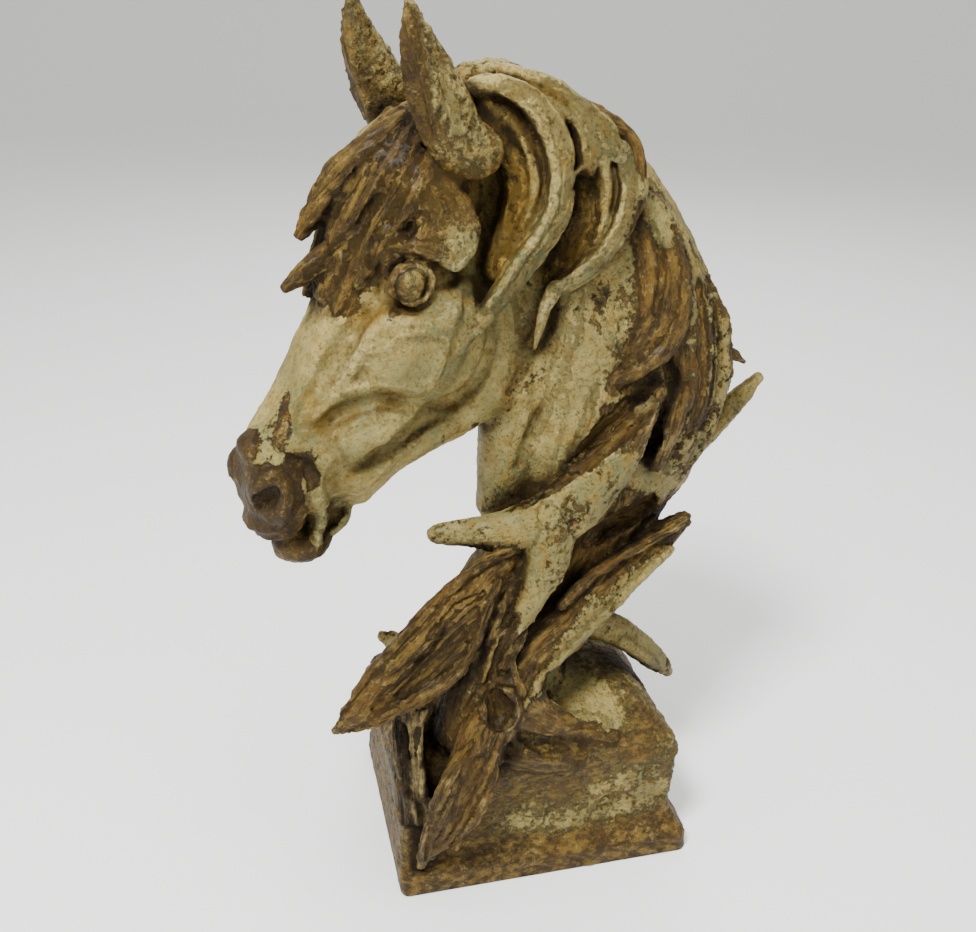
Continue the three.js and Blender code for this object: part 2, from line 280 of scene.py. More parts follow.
def head_mass(centre, radii, both=False, seam=6, finish="plaster", tilt=0, carve=False):
    """A ball stretched to three radii, nose down by tilt degrees, pressed in or carved out."""
    for mirrored in ((False, True) if both else (False,)):
        middle = in_head([centre], mirrored)[0]
        lean = math.radians(tilt)

        def distance(x, y, z, middle=middle):
            px, py, pz = x - middle[0], y - middle[1], z - middle[2]
            ahead, beside = px * FORWARD[0] + py * FORWARD[1], px * SIDE[0] + py * SIDE[1]
            u = (ahead * math.cos(lean) - pz * math.sin(lean)) / radii[0]
            v = beside / radii[1]
            w = (ahead * math.sin(lean) + pz * math.cos(lean)) / radii[2]
            size = np.sqrt(u * u + v * v + w * w)
            steep = np.sqrt((u / radii[0]) ** 2 + (v / radii[1]) ** 2 + (w / radii[2]) ** 2)
            return size * (size - 1) / np.maximum(steep, 1e-6)
        reach = max(radii)
        line = np.array([[*middle - [0, 0, 1], reach], [*middle + [0, 0, 1], reach]])
        press_in(distance=distance, seam=seam, carve=carve, low=middle - reach,
                 high=middle + reach, finish=finish, line=line, across=SIDE)


# skull, the bars of the nose and jaw, and the round jowls
head_mass((8, 0, 346), (29, 27, 29), seam=8)
head_mass((19, 0, 322), (26, 31, 27), seam=8)
head_limb([[25, 7, 322, 17], [38, 7, 291, 15.5], [48, 7, 277, 14], [57, 7, 264, 12.5],
           [69, 7, 248, 11.5], [78, 5, 238, 11]], seam=7)
head_limb([[16, 14, 304, 18], [30, 13, 274, 16], [48, 10, 244, 14], [64, 7, 226, 14]], seam=8)
head_limb([[2, 20, 296, 15], [14, 19, 272, 14], [30, 14, 252, 14], [46, 9, 230, 13]], seam=8)
head_mass((-4, 13, 283), (45, 16, 47), both=True)
head_limb([[-20, 15, 254, 11], [0, 14, 243, 10.5], [26, 11, 231, 10], [42, 6, 216, 9.5]], seam=9)
head_mass((15, 0, 247), (9, 5, 8), seam=2)

# muzzle, lips and chin
head_mass((77, 0, 222), (16, 17, 21), seam=7, finish="muzzle")
head_mass((80, 10, 222), (12, 11, 17), both=True, seam=5, finish="muzzle", tilt=22)
head_mass((87, 0, 241), (6, 9, 7), seam=4, finish="muzzle")
head_mass((79, 0, 206), (14, 15, 10), seam=3, finish="muzzle")
head_mass((67, 0, 191), (14, 13, 10.5), seam=2, finish="muzzle")
head_mass((54, 0, 203), (11, 12, 11), seam=5)
head_limb([[93, 13, 225, 2], [90, 17, 232, 3], [84, 20, 234, 3.4], [81, 22, 227, 3.4],
           [82, 21, 218, 3], [86, 18, 212, 2]], rest=-0.6, seam=4, finish="muzzle")
head_limb([[91, 13, 219, 1.8], [90, 17, 223, 4], [87, 18, 226, 3.6], [85, 20, 229, 1.8]],
          rest=-0.6, seam=2, finish="muzzle", carve=True)
head_limb([[76, 19, 240, 1.4], [71, 18, 236, 2.6], [67, 18, 230, 3], [68, 18, 221, 3],
           [73, 18, 213, 3], [77, 15, 206, 3], [82, 12, 202, 2.8], [89, 9, 200, 2.4],
           [93, 4, 199, 2], [94, 0, 199, 2]],
          rest=0.6, seam=3, finish="muzzle", carve=True)
head_limb([[49, 11, 206, 2], [55, 14, 205, 3.4], [58, 13, 200, 3.8], [61, 13, 196, 2]],
          rest=0.4, seam=2, finish="rotten", carve=True)
head_limb([[66, 17, 219, 2], [61, 15, 212, 3], [63, 13, 202, 3], [64, 12, 195, 2]],
          rest=-0.4, seam=3)

# lobes of the cheek and the grooves that part them
head_mass((24, 25, 283), (19, 11, 20), both=True, seam=5)
head_limb([[0, 34, 308, 5], [5, 36, 289, 6.5], [10, 35, 275, 7], [22, 31, 262, 7],
           [34, 26, 254, 5]], rest=-3.4, seam=6)
head_limb([[22, 31, 251, 4], [33, 29, 247, 6], [46, 24, 246, 6], [60, 20, 238, 4]],
          rest=-2.4, seam=4)
head_limb([[4, 26, 242, 4], [18, 25, 235, 5.4], [32, 23, 229, 5.4], [46, 19, 221, 4.6]],
          rest=-2.4, seam=4)
head_limb([[71, 18, 252, 1.6], [63, 18, 252, 3], [54, 19, 257, 4], [44, 25, 261, 4.2],
           [34, 29, 262, 4], [24, 34, 260, 4], [16, 34, 263, 3.8], [9, 36, 276, 3.6],
           [5, 37, 292, 3], [0, 35, 306, 2]], rest=0.3, seam=3, carve=True)
head_limb([[-16, 28, 288, 2.4], [-15, 27, 275, 3.6], [-9, 27, 262, 4.2], [1, 25, 255, 4.2],
           [16, 31, 253, 4], [30, 31, 246, 3.6], [40, 24, 237, 3], [52, 22, 229, 2]],
          rest=0.5, seam=3, carve=True)
head_limb([[24, 31, 244, 1.8], [34, 30, 240, 3], [45, 23, 234, 3], [57, 24, 229, 2],
           [62, 21, 222, 1.4]], rest=0.9, seam=3, carve=True)
head_limb([[8, 36, 301, 2], [14, 35, 294, 3], [24, 36, 296, 3.4], [32, 30, 298, 3.2],
           [42, 26, 290, 2.8], [54, 22, 272, 2]], rest=-1, seam=5)
head_limb([[44, 22, 300, 2.6], [53, 19, 284, 3.6], [62, 16, 268, 3.2], [70, 14, 256, 2]],
          rest=1, seam=6, carve=True)
head_limb([[60, 22, 246, 1.8], [56, 22, 238, 3], [60, 21, 229, 2.8], [58, 19, 219, 1.8]],
          rest=0.6, seam=3, carve=True)
for vein in (
        [[50, 23, 276, 1.1], [43, 26, 287, 1.6], [38, 32, 287, 1.6], [32, 34, 293, 1.4],
         [23, 36, 294, 1]],
        [[52, 22, 268, 1.2], [44, 27, 270, 1.6], [34, 31, 272, 1.4], [24, 34, 268, 1]],
        [[8, 29, 246, 1], [20, 28, 241, 1.4], [34, 26, 232, 1.3], [44, 21, 222, 1]]):
    head_limb(vein, rest=-0.3, seam=2.5)

# ------------------------------------------------------------------ eyes and brow
# A carved ball with its iris cut in, thin lids round it, and heavy folds of brow over it that
# run up to the ears. Cast with the head and painted like it.

EYE = (25, 29, 312.5)
# the lids lie a little out from the middle of the eye, slant in towards the nose and are flattened
LID_OUT, LID_SLANT, LID_FLAT = 3.2, 0.14, 0.93


def round_eye(start, end, radius, thickness, **clay_work):
    """An arc round the eyeball from one angle to another in degrees, counted from the front."""
    points = []
    for k in range(7):
        angle = math.radians(start + (end - start) * k / 6)
        ahead = radius * math.cos(angle)
        points.append([EYE[0] + ahead, EYE[1] + LID_OUT - LID_SLANT * ahead,
                       EYE[2] + LID_FLAT * radius * math.sin(angle),
                       thickness * (1 - abs(k - 3) / 7)])
    head_limb(points, **clay_work)


# brow and temple
head_limb([[12, 24, 357, 4], [6, 28, 350, 4], [1, 30.5, 342, 5]], seam=6, finish="stained")
head_limb([[1, 30.5, 342, 4.6], [0, 31.6, 333, 6.6], [5, 32, 325, 7], [11, 31, 325, 5]], seam=5,
          finish="stained")
head_limb([[24, 22, 350, 4], [18, 27, 343, 4.6], [17, 29, 336, 4.6], [20, 30, 330, 4]], seam=6,
          finish="stained")
head_limb([[14, 27, 350, 4], [10, 29, 342, 5], [10, 30.5, 333, 4.6]], seam=5, finish="stained")
head_limb([[14, 31, 349, 0.8], [9, 33, 342, 1.5], [11, 34, 335, 1.5], [8, 35, 328, 0.8]],
          rest=0.5, seam=2, finish="stained", carve=True)
head_mass(EYE, (10, 4, 9.4), both=True, seam=4, finish="stained", carve=True)
head_mass(EYE, (8, 5.4, 7.6), both=True, seam=0.6, finish="eye")
round_eye(-25, 205, 9.2, 2.1, seam=2.4, finish="eye")
round_eye(200, 345, 8.8, 1.5, seam=1.6, finish="eye")
# the heavy fold over the eye, cut under sharply, and the loose one behind it
head_limb([[40, 25, 329, 1.4], [33, 30, 329, 2.8], [24, 34, 327.5, 3.2], [14, 36, 324, 3.4],
           [6, 37, 320, 2]], rest=-1, seam=1.6, finish="stained")
head_limb([[38, 27, 325, 1], [32, 31, 324.6, 1.4], [24, 34, 323.4, 1.4], [15, 36, 319, 1.6],
           [9, 37, 316, 1.2]], rest=0.5, seam=1.2, finish="stained", carve=True)
round_eye(214, 326, 11.8, 1.3, rest=0.4, seam=2, carve=True)
head_limb([[13, 36, 318, 1.8], [7, 37, 320, 2.4], [1, 36, 327, 1.8]], rest=0, seam=2)
head_limb([[12, 35, 311, 1.2], [6, 36, 312, 2], [0, 36, 318, 1.4]], rest=0.4, seam=2,
          finish="stained", carve=True)
# dry, cracked creases between the eye and the forelock
for crease in (
        [[36, 26, 334, 1.2], [27, 30, 336, 1.8], [18, 31, 340, 1.4]],
        [[40, 24, 326, 1.2], [37, 27, 318, 1.6], [39, 27, 308, 1.2]],
        [[30, 27, 344, 1.2], [25, 29, 338, 1.6], [27, 30, 330, 1.2]]):
    head_limb(crease, rest=0.3, seam=2, finish="stained", carve=True)

# ------------------------------------------------------------------ ears
# Two upright ears with a bulb at the root and a hollow that opens forward, cast with the head.

for side_on in (1, -1):
    lean = 0 if side_on == 1 else -4
    head_limb([[-2 + lean, 23 * side_on, 353, 8], [2 + lean, 29 * side_on, 366, 12],
               [10 + lean, 30 * side_on, 380, 12.5], [16 + lean, 30 * side_on, 392, 11],
               [21 + lean, 29.5 * side_on, 406, 7], [23 + lean, 29 * side_on, 420, 1.4]],
              both=False, seam=3, flat=0.72, finish="stained")
head_mass((-5, 31, 363), (12, 10, 11), both=True, seam=4, finish="stained")
head_limb([[20, 32, 372, 4], [27, 32, 384, 8], [30, 31, 397, 7], [31, 30, 411, 4]],
          seam=1.6, flat=0.85, finish="muzzle", carve=True)
head_limb([[18, 37, 376, 1.4], [17, 39, 388, 2], [20, 36, 402, 1.6], [22, 32, 414, 1]],
          rest=-0.3, seam=2, finish="stained")
head_limb([[8, 40, 372, 1.2], [12, 41, 384, 1.6], [16, 38, 398, 1.2]],
          rest=0.3, seam=2, finish="hair", carve=True)

# ------------------------------------------------------------------ forelock and mane
# Locks of hair, thick as rope, each tapering to a point. The forelock is swept over the brow and
# stained brown. The mane hangs to both sides in pale ribbons with deep stained hollows between.

head_limb([[6, 6, 366, 16], [22, 8, 352, 16], [34, 6, 334, 14], [42, 4, 318, 10], [50, 2, 306, 6]],
          both=False, seam=5, finish="brown hair")
for lock in (
        [[10, 8, 374, 6], [24, 8, 367, 8], [37, 4, 356, 8.5], [46, -1, 345, 7.5],
         [53, -4, 335, 5.4], [58, -4, 329, 3]],
        [[12, 14, 368, 6], [27, 12, 352, 8], [36, 8, 336, 8], [44, 4, 324, 7],
         [56, 2, 316, 5.4], [67, 0, 309, 3]],
        [[12, 20, 368, 5.5], [23, 20, 350, 6.5], [34, 18, 333, 5.8], [42, 15, 316, 4.6],
         [50, 12, 300, 2.5]],
        [[8, 24, 368, 5], [17, 25, 352, 5.5], [26, 24, 338, 5], [36, 22, 326, 4],
         [43, 20, 312, 2.4]],
        [[10, -10, 372, 6], [24, -12, 354, 7], [36, -12, 336, 6.5], [46, -12, 318, 5],
         [54, -10, 302, 2.5]],
        [[4, -22, 366, 5], [16, -24, 348, 5.5], [26, -24, 332, 4.5], [34, -22, 318, 2.5]]):
    head_limb(lock, both=False, seam=3, finish="brown hair")
for furrow in (
        [[14, 12, 374, 0.9], [26, 13, 364, 1.3], [38, 10, 350, 1.6], [46, 4, 338, 1.3]],
        [[12, 17, 370, 0.9], [24, 19, 358, 1.3], [34, 17, 342, 1.6], [40, 13, 326, 1.5],
         [46, 9, 312, 1]],
        [[10, 22, 366, 1], [20, 25, 354, 1.4], [30, 22, 338, 1.5], [38, 19, 322, 1.2]],
        [[18, 5, 372, 0.9], [32, 3, 362, 1.3], [44, -1, 350, 1.3], [52, -3, 340, 1]],
        [[30, 14, 346, 0.9], [38, 11, 334, 1.4], [48, 6, 322, 1.4], [58, 3, 315, 1]],
        [[12, -16, 366, 1], [26, -18, 346, 1.6], [36, -17, 328, 1.4]]):
    head_limb(furrow, both=False, rest=0.4, seam=1.5, finish="brown hair", carve=True)

# the body of the mane under its locks
limb([[-30, -24, 382, 9], [-18, -26, 369, 10.5], [-12, -27, 350, 11], [-14, -29, 332, 10.5],
      [-24, -32, 313, 8]], seam=4, finish="mane hollow")
limb([[2, -20, 376, 9], [16, -21, 362, 12], [19, -23, 342, 13], [12, -26, 322, 10],
      [3, -29, 308, 6]], seam=5, finish="mane hollow")
near_ribbons = (
    [[-37, -33, 387, 3], [-27, -36, 388, 4.2], [-16, -38, 383, 5.2], [-7, -38, 372, 5.8],
     [-2, -38, 360, 6.2], [-1, -38, 348, 6.2], [-3, -39, 338, 6.2], [-9, -40, 328, 6.2],
     [-17, -41, 318, 6], [-24, -42, 308, 5.4], [-31, -42, 299, 4.6], [-39, -43, 290, 3.6],
     [-46, -43, 280, 2]],
    [[4, -28, 381, 3], [10, -31, 377, 4], [18, -33, 369, 4.8], [25, -34, 360, 5],
     [29, -34, 349, 5], [29, -35, 340, 5], [26, -36, 329, 5], [18, -37, 317, 4.8],
     [8, -38, 310, 4.4], [-1, -38, 305, 3.6], [-5, -37, 298, 2.8], [-7, -36, 288, 2],
     [-9, -35, 277, 1.2]],
    [[-22, -26, 391, 4], [-10, -29, 387, 5.4], [1, -32, 381, 5.8], [8, -33, 373, 5.4],
     [11, -34, 363, 5], [9, -36, 354, 4.4], [3, -38, 348, 3]])
far_ribbons = (
    [[-30, 22, 383, 6], [-14, 28, 376, 7.5], [-4, 31, 360, 8.5], [-4, 33, 338, 8.5],
     [-14, 34, 314, 8], [-24, 33, 292, 6], [-28, 31, 270, 3]],
    [[-2, 16, 376, 7], [13, 22, 362, 8], [23, 26, 342, 8], [27, 30, 320, 8], [21, 33, 300, 7],
     [12, 33, 280, 5], [6, 32, 258, 2.5]],
    [[14, 12, 360, 6], [30, 17, 344, 8], [39, 22, 324, 8], [42, 26, 304, 7], [36, 30, 284, 5],
     [30, 31, 266, 2.5]])
strands = (
    [[12, -30, 370, 3], [17, -33, 361, 3.8], [20, -34, 352, 4], [21, -34, 342, 3.6],
     [18, -35, 332, 2.8], [16, -36, 325, 1.4]],
    [[-34, 20, 376, 4], [-24, 27, 368, 5], [-18, 31, 350, 5.5], [-22, 33, 326, 5],
     [-34, 33, 300, 3]])
for ribbon in near_ribbons + far_ribbons:
    limb(ribbon, seam=2, finish="hair", flat=0.85)
for strand in strands:
    limb(strand, seam=1.6, finish="hair")
limb([[8, -25, 379, 4], [21, -28, 372, 5.4], [31, -30, 363, 5.8], [34, -32, 353, 5.4],
      [34, -34, 343, 5], [32, -35, 333, 4.2], [27, -36, 324, 2.8]],
     seam=2, flat=0.85, finish="brown hair")
for ridge_line in (
        [[-34, -34, 382, 1.8], [-20, -35, 368, 2.6], [-13, -36, 350, 2.8], [-18, -37, 332, 2.6],
         [-26, -38, 316, 2]],
        [[-32, -31, 374, 1.6], [-25, -34, 360, 2.2], [-22, -35, 344, 2.4], [-26, -36, 326, 1.8]],
        [[-16, -33, 387, 1.6], [-4, -34, 377, 2.2], [2, -35, 366, 2.4], [2, -36, 355, 1.8]]):
    limb(ridge_line, rest=-0.6, seam=2.4, finish="mane hollow")
for hollow in (
        [[-28, -36, 378, 2], [-18, -36, 358, 3], [-17, -36, 340, 3], [-23, -37, 322, 2.4]],
        [[4, -37, 356, 2.4], [10, -37, 344, 4], [11, -37, 332, 4.6], [5, -38, 321, 4],
         [-1, -39, 313, 2.6]],
        [[22, -33, 366, 1.2], [26, -34, 352, 1.6], [26, -35, 338, 1.6]],
        [[14, 32, 364, 3], [17, 36, 336, 4], [6, 38, 306, 3]]):
    limb(hollow, rest=0.8, seam=3, finish="mane hollow", carve=True)
# each near ribbon has a raised rim along its outside and a furrow beside it
for ribbon, drop in ((near_ribbons[0], 11), (near_ribbons[1], 10), (near_ribbons[2], 7)):
    for shift, thickness, carve in ((0.62, 0.36, False), (0.1, 0.2, True), (-0.5, 0.16, True)):
        line = np.array(ribbon[1:drop], float)
        along = np.gradient(line[:, :3], axis=0)
        along /= np.linalg.norm(along, axis=1)[:, None]
        outward = np.cross(along, [0, 1, 0])
        line[:, :3] -= outward * (line[:, 3:] * shift) + [0, 1, 0] * line[:, 3:] * 0.8
        line[:, 3] *= thickness
        limb(line, rest=0.1 if carve else -0.7, seam=1.4, finish="mane hollow" if carve else "hair",
             carve=carve)
# the crest, folded over the top of the neck
limb([[-33, -5, 386, 8], [-19, -4, 386, 9], [-5, -4, 379, 8.5], [9, -6, 368, 8.5],
      [25, -8, 357, 8], [38, -10, 344, 7], [44, -12, 333, 4.5], [40, -20, 325, 3]],
     seam=3, finish="mane hollow")
limb([[-24, -14, 392, 3], [-6, -15, 387, 3.6], [11, -16, 376, 3.6], [27, -18, 364, 3.2],
      [38, -20, 350, 2.6]], rest=-0.5, seam=2, finish="hair")

# ------------------------------------------------------------------ driftwood limbs
# Weathered limbs that cross round the foot of the neck: a pale one with two prongs, two broad
# brown planks, and stubs behind. They are cast with the rest and painted to look like old wood.

limb([[-52, -30, 186, 5], [-38, -33, 187, 7], [-20, -36, 187, 10.5], [1, -38, 192, 14.5],
      [18, -38, 206, 14], [31, -38, 221, 11.5], [41, -38, 237, 8], [51, -38, 254, 4]],
     seam=3, finish="pale bark", flat=0.85)
limb([[1, -40, 195, 11.2], [-2, -44, 175, 11], [-8, -47, 160, 7.5], [-14, -50, 148, 5.5],
      [-20, -52, 139, 3.2]], seam=3, finish="pale bark")
limb([[77, -20, 174, 6], [66, -22, 168, 9], [46, -26, 156, 12.5], [24, -32, 142, 15.5],
      [8, -38, 130, 15.5], [-9, -44, 119, 14.5], [-23, -52, 106, 13], [-37, -58, 89, 11]],
     seam=4, finish="bark", flat=0.72)
limb([[76, -27, 178, 2.6], [57, -31, 172, 3.4], [38, -36, 166, 3.6], [20, -41, 158, 3.4],
      [6, -45, 148, 3]], seam=2.5, finish="bark")
limb([[68, -29, 163, 2.6], [48, -35, 151, 3.2], [31, -41, 140, 3.6], [5, -49, 122, 3.6],
      [-11, -55, 111, 3.6], [-20, -60, 98, 3]], seam=2.5, finish="pale bark")
limb([[-20, -40, 172, 8], [-36, -45, 162, 13], [-51, -50, 148, 16.5], [-67, -53, 133, 15.5],
      [-83, -55, 119, 12], [-97, -57, 107, 7.5], [-106, -57, 101, 3.6]],
     seam=3, finish="bark", flat=0.6)
limb([[-40, -54, 156, 2.4], [-55, -57, 142, 4.5], [-72, -60, 126, 4], [-88, -60, 114, 2.2]],
     rest=1.2, seam=5, finish="bark", carve=True)
limb([[-16, -42, 181, 3], [-36, -47, 177, 3.4], [-54, -51, 165, 3.6], [-72, -54, 148, 3.4],
      [-90, -55, 128, 3], [-102, -56, 110, 2.4]], seam=2.5, finish="bark")
limb([[-27, -49, 168, 2.6], [-35, -54, 152, 3.6], [-41, -56, 136, 4], [-52, -59, 124, 4.4],
      [-70, -61, 115, 4.2], [-88, -60, 106, 3.6], [-100, -58, 102, 2.6]], seam=2.5, finish="bark")
for split in (
        [[-44, -55, 148, 1], [-58, -58, 134, 1.6], [-76, -60, 119, 1.2]],
        [[-52, -54, 154, 1], [-66, -57, 138, 1.5], [-84, -59, 121, 1]],
        [[-36, -50, 164, 1], [-48, -54, 160, 1.4], [-62, -56, 148, 1]]):
    limb(split, rest=0.3, seam=1.6, finish="bark", carve=True)
limb([[-73, 10, 105, 3.4], [-63, 5, 100, 6.4], [-45, 0, 93, 7]], seam=4, finish="pale bark")
limb([[127, 12, 236, 2.8], [116, 12, 225, 5.4], [100, 12, 208, 7.2], [82, 10, 195, 6.6],
      [62, 8, 182, 6], [45, 6, 170, 6]], seam=4, finish="pale bark")
limb([[116, 8, 247, 1.8], [108, 8, 252, 4.1], [92, 8, 255, 5]], seam=4, finish="bark")
limb([[87, 0, 65, 3], [74, -4, 81, 7], [54, -6, 100, 8], [30, -8, 115, 9]],
     seam=4, finish="pale bark")
limb([[84, -3, 72, 2], [70, -10, 84, 3], [52, -13, 100, 3]], seam=2.5, finish="peeling")
# far side, plainer
limb([[-2, 34, 182, 6], [12, 36, 200, 9], [22, 36, 214, 10], [34, 36, 228, 8], [48, 34, 246, 5]],
     seam=3, finish="peeling")
limb([[66, 24, 150, 5], [48, 28, 146, 10], [26, 34, 138, 13], [4, 40, 124, 13],
      [-14, 46, 108, 11], [-30, 52, 88, 9], [-42, 56, 64, 6], [-48, 58, 46, 3]],
     seam=4, finish="bark")
limb([[-2, 38, 178, 8], [20, 40, 158, 11], [38, 44, 134, 12], [50, 50, 108, 9],
      [58, 54, 84, 5], [62, 56, 68, 3]], seam=4, finish="bark")
# rotten hollows above the pale limb and between the planks
for hollow in (
        [[45, -30, 221, 5], [56, -30, 228, 5]],
        [[-23, -34, 201, 2.4], [-5, -36, 204, 4.2], [7, -37, 214, 5.4], [19, -38, 225, 6.2],
         [31, -39, 237, 6.6], [43, -40, 248, 5]],
        [[56, -24, 187, 6], [36, -32, 183, 6], [22, -38, 176, 4]]):
    limb(hollow, seam=2, finish="rotten", carve=True)

# ------------------------------------------------------------------ roots and mound
# The planks run out in broad roots over the front corner of the plinth, round a knot hole. To
# their right a mound of bark with a scoop in it spills over the plinth's top.

limb([[-10, -32, 160, 14], [-24, -38, 140, 14], [-38, -44, 112, 14], [-44, -46, 84, 14]],
     seam=5, finish="rotten")
for fibre in (
        [[-20, -46, 160, 2.4], [-28, -50, 146, 3], [-33, -52, 128, 3]],
        [[-9, -46, 152, 2.4], [-17, -52, 138, 3], [-25, -56, 124, 3]]):
    limb(fibre, seam=2, finish="bark")
limb([[-24, -56, 110, 9], [-34, -62, 92, 13], [-43, -65, 69, 14], [-53, -65, 45, 12],
      [-62, -63, 25, 7.5], [-68, -62, 12, 3]], seam=3, finish="bark", flat=0.72)
limb([[-36, -66, 98, 2.6], [-52, -70, 80, 3.4], [-62, -71, 58, 3.4], [-67, -68, 36, 3],
      [-68, -66, 20, 2]], seam=2.5, finish="bark")
limb([[-28, -68, 88, 2.6], [-34, -72, 68, 3.4], [-42, -73, 48, 3.2], [-52, -71, 30, 2.6]],
     seam=2.5, finish="bark")
limb([[-40, -73, 84, 1.6], [-48, -75, 64, 2.6], [-56, -74, 42, 2.4], [-62, -71, 28, 1.6]],
     seam=3, finish="bark", carve=True)
limb([[-18, -52, 100, 11], [-4, -54, 90, 9], [8, -53, 82, 6.5], [20, -49, 76, 4],
      [34, -44, 70, 2]], seam=12, finish="worn plate")
limb([[-14, -55, 72, 10], [2, -52, 66, 9], [16, -49, 60, 6]], seam=12, finish="worn plate")
limb([[-26, -67, 80, 3], [-12, -67, 80, 5], [2, -66, 75, 6], [16, -64, 68, 4]],
     rest=2, seam=8, finish="stained", carve=True)
for ripple in (
        [[-20, -62, 98, 1.2], [-8, -60, 89, 1.8], [6, -58, 83, 2], [20, -56, 76, 1.6],
         [36, -52, 68, 1.2]],
        [[-24, -64, 88, 1], [-10, -62, 72, 1.4], [6, -60, 66, 1.2]]):
    limb(ripple, rest=-0.4, seam=4, finish="worn plate")
knot_rim = [[-29 + 7.5 * math.sin(k * math.pi / 4), -64, 107 + 9.5 * math.cos(k * math.pi / 4),
             2.2 + 0.8 * math.sin(2.3 * k)]
            for k in range(9)]
limb(knot_rim, rest=0.4, seam=3, finish="rotten")
limb([[-31, -67, 113, 4.2], [-28, -68, 107, 5.6], [-30, -69, 101, 4.2]], rest=-0.6, seam=1.6,
     finish="rotten", carve=True)
limb([[-20, -56, 150, 1.4], [-30, -58, 134, 2.2], [-36, -61, 120, 2]], rest=-0.4, seam=2,
     finish="bark")
limb([[-12, -54, 140, 1.4], [-18, -58, 126, 2.2], [-19, -61, 112, 2]], rest=-0.4, seam=2,
     finish="bark")
limb([[-72, -46, 104, 6], [-72, -48, 84, 7], [-72, -50, 60, 6]], seam=4, finish="rotten")
for x, y, thickness in ((-79, -52, 2.2), (-77, -57, 1.8), (-73, -60, 2.4), (-68, -62, 2)):
    limb([[x + 3, y + 2, 108, thickness], [x + 1, y + 1, 86, thickness],
          [x + 3, y + 1, 58, thickness * 1.2], [x + 5, y + 3, 36, thickness]],
         seam=2.4, finish="rotten")
limb([[-76, -56, 96, 2.4], [-75, -59, 76, 3.2], [-73, -60, 56, 2.2]], seam=2,
     finish="rotten", carve=True)

# ------------------------------------------------------------------ the skin of the clay
# The field is turned into a fine mesh of four-sided faces, one point in every cell that the
# surface crosses, and the foot is cut flat for the casting to stand on.

RELAXINGS = 2
ground = UNDERSIDE - clay.axes[2][None, None, :] + 0 * clay.field
clay.field = np.maximum(clay.field, ground)


def skin(field, low, step):
    """The points of the surface and the quads that join them."""
    inside = field < 0
    size = np.array(field.shape) - 1
    hits = np.zeros(size, np.int8)
    for i, j, k in np.ndindex(2, 2, 2):
        hits += inside[i:size[0] + i, j:size[1] + j, k:size[2] + k]
    crossed = (hits > 0) & (hits < 8)
    cells = np.argwhere(crossed)
    number = np.full(size, -1, np.int32)
    number[crossed] = np.arange(len(cells))
    total, found = np.zeros((len(cells), 3)), np.zeros(len(cells))
    for corner in np.ndindex(2, 2, 2):
        for axis in range(3):
            if corner[axis]:
                continue
            other = np.array(corner)
            other[axis] = 1
            a, b = field[tuple((cells + corner).T)], field[tuple((cells + other).T)]
            cross = (a < 0) != (b < 0)
            point = np.array(corner, float) + np.eye(3)[axis] * np.where(
                cross, a / np.where(cross, a - b, 1), 0)[:, None]
            total += point * cross[:, None]
            found += cross
    points = (cells + total / found[:, None]) * step + low
    faces = []
    for axis in range(3):
        u, v = (np.eye(3, dtype=int)[k] for k in range(3) if k != axis)
        near = [slice(1, -1)] * 3
        near[axis] = slice(0, -1)
        far = list(near)
        far[axis] = slice(1, None)
        edge = inside[tuple(near)] != inside[tuple(far)]
        at = np.argwhere(edge) + u + v
        quad = np.stack([number[tuple((at - d).T)] for d in (u + v, v, 0 * u, u)], axis=1)
        turned = inside[tuple(near)][edge] == (axis == 1)
        quad[turned] = quad[turned][:, ::-1]
        faces.append(quad)
    return points, np.concatenate(faces)


points, quads = skin(clay.field, clay.low, clay.step)


def normals_of(points, quads):
    a, b, c, d = (points[quads[:, k]] for k in range(4))
    face = np.cross(c - a, d - b)
    total = np.zeros_like(points)
    for k in range(4):
        for axis in range(3):
            total[:, axis] += np.bincount(quads[:, k], face[:, axis], len(points))
    return total / np.maximum(np.linalg.norm(total, axis=1), 1e-9)[:, None]


def relaxed(points, quads):
    """Each point moved halfway to the middle of its neighbours."""
    total, count = np.zeros_like(points), np.zeros(len(points))
    for k in range(4):
        for neighbour in (quads[:, k - 1], quads[:, k - 3]):
            for axis in range(3):
                total[:, axis] += np.bincount(quads[:, k], points[neighbour, axis], len(points))
            count += np.bincount(quads[:, k], minlength=len(points))
    return 0.5 * points + 0.5 * total / count[:, None]


for repeat in range(RELAXINGS):
    points = relaxed(points, quads)
    points -= normals_of(points, quads) * clay.depth_at(points)[:, None]
points[:, 2] = np.maximum(points[:, 2], UNDERSIDE)
normals = normals_of(points, quads)

# ------------------------------------------------------------------ where each finish lies
# Every point takes its finish from the lump of clay that it lies on: how bare it is of paint, how
# stained, how fibrous, and which way its grain runs. Dabs then change the paint in listed strokes.

# in millimetres: how far finishes blend and how far off they stop counting, how far round a lump
# its points are looked for, how near a lump gives them its grain, and how near it hides the plinth
BLEND, BLEND_END, LUMP_MARGIN, GRAIN_REACH, PLINTH_GAP = 0.9, 20, 5, 6.0, 3
# a carved lump gives its finish less strongly than one that is pressed in
CARVED_SHARE = 0.6
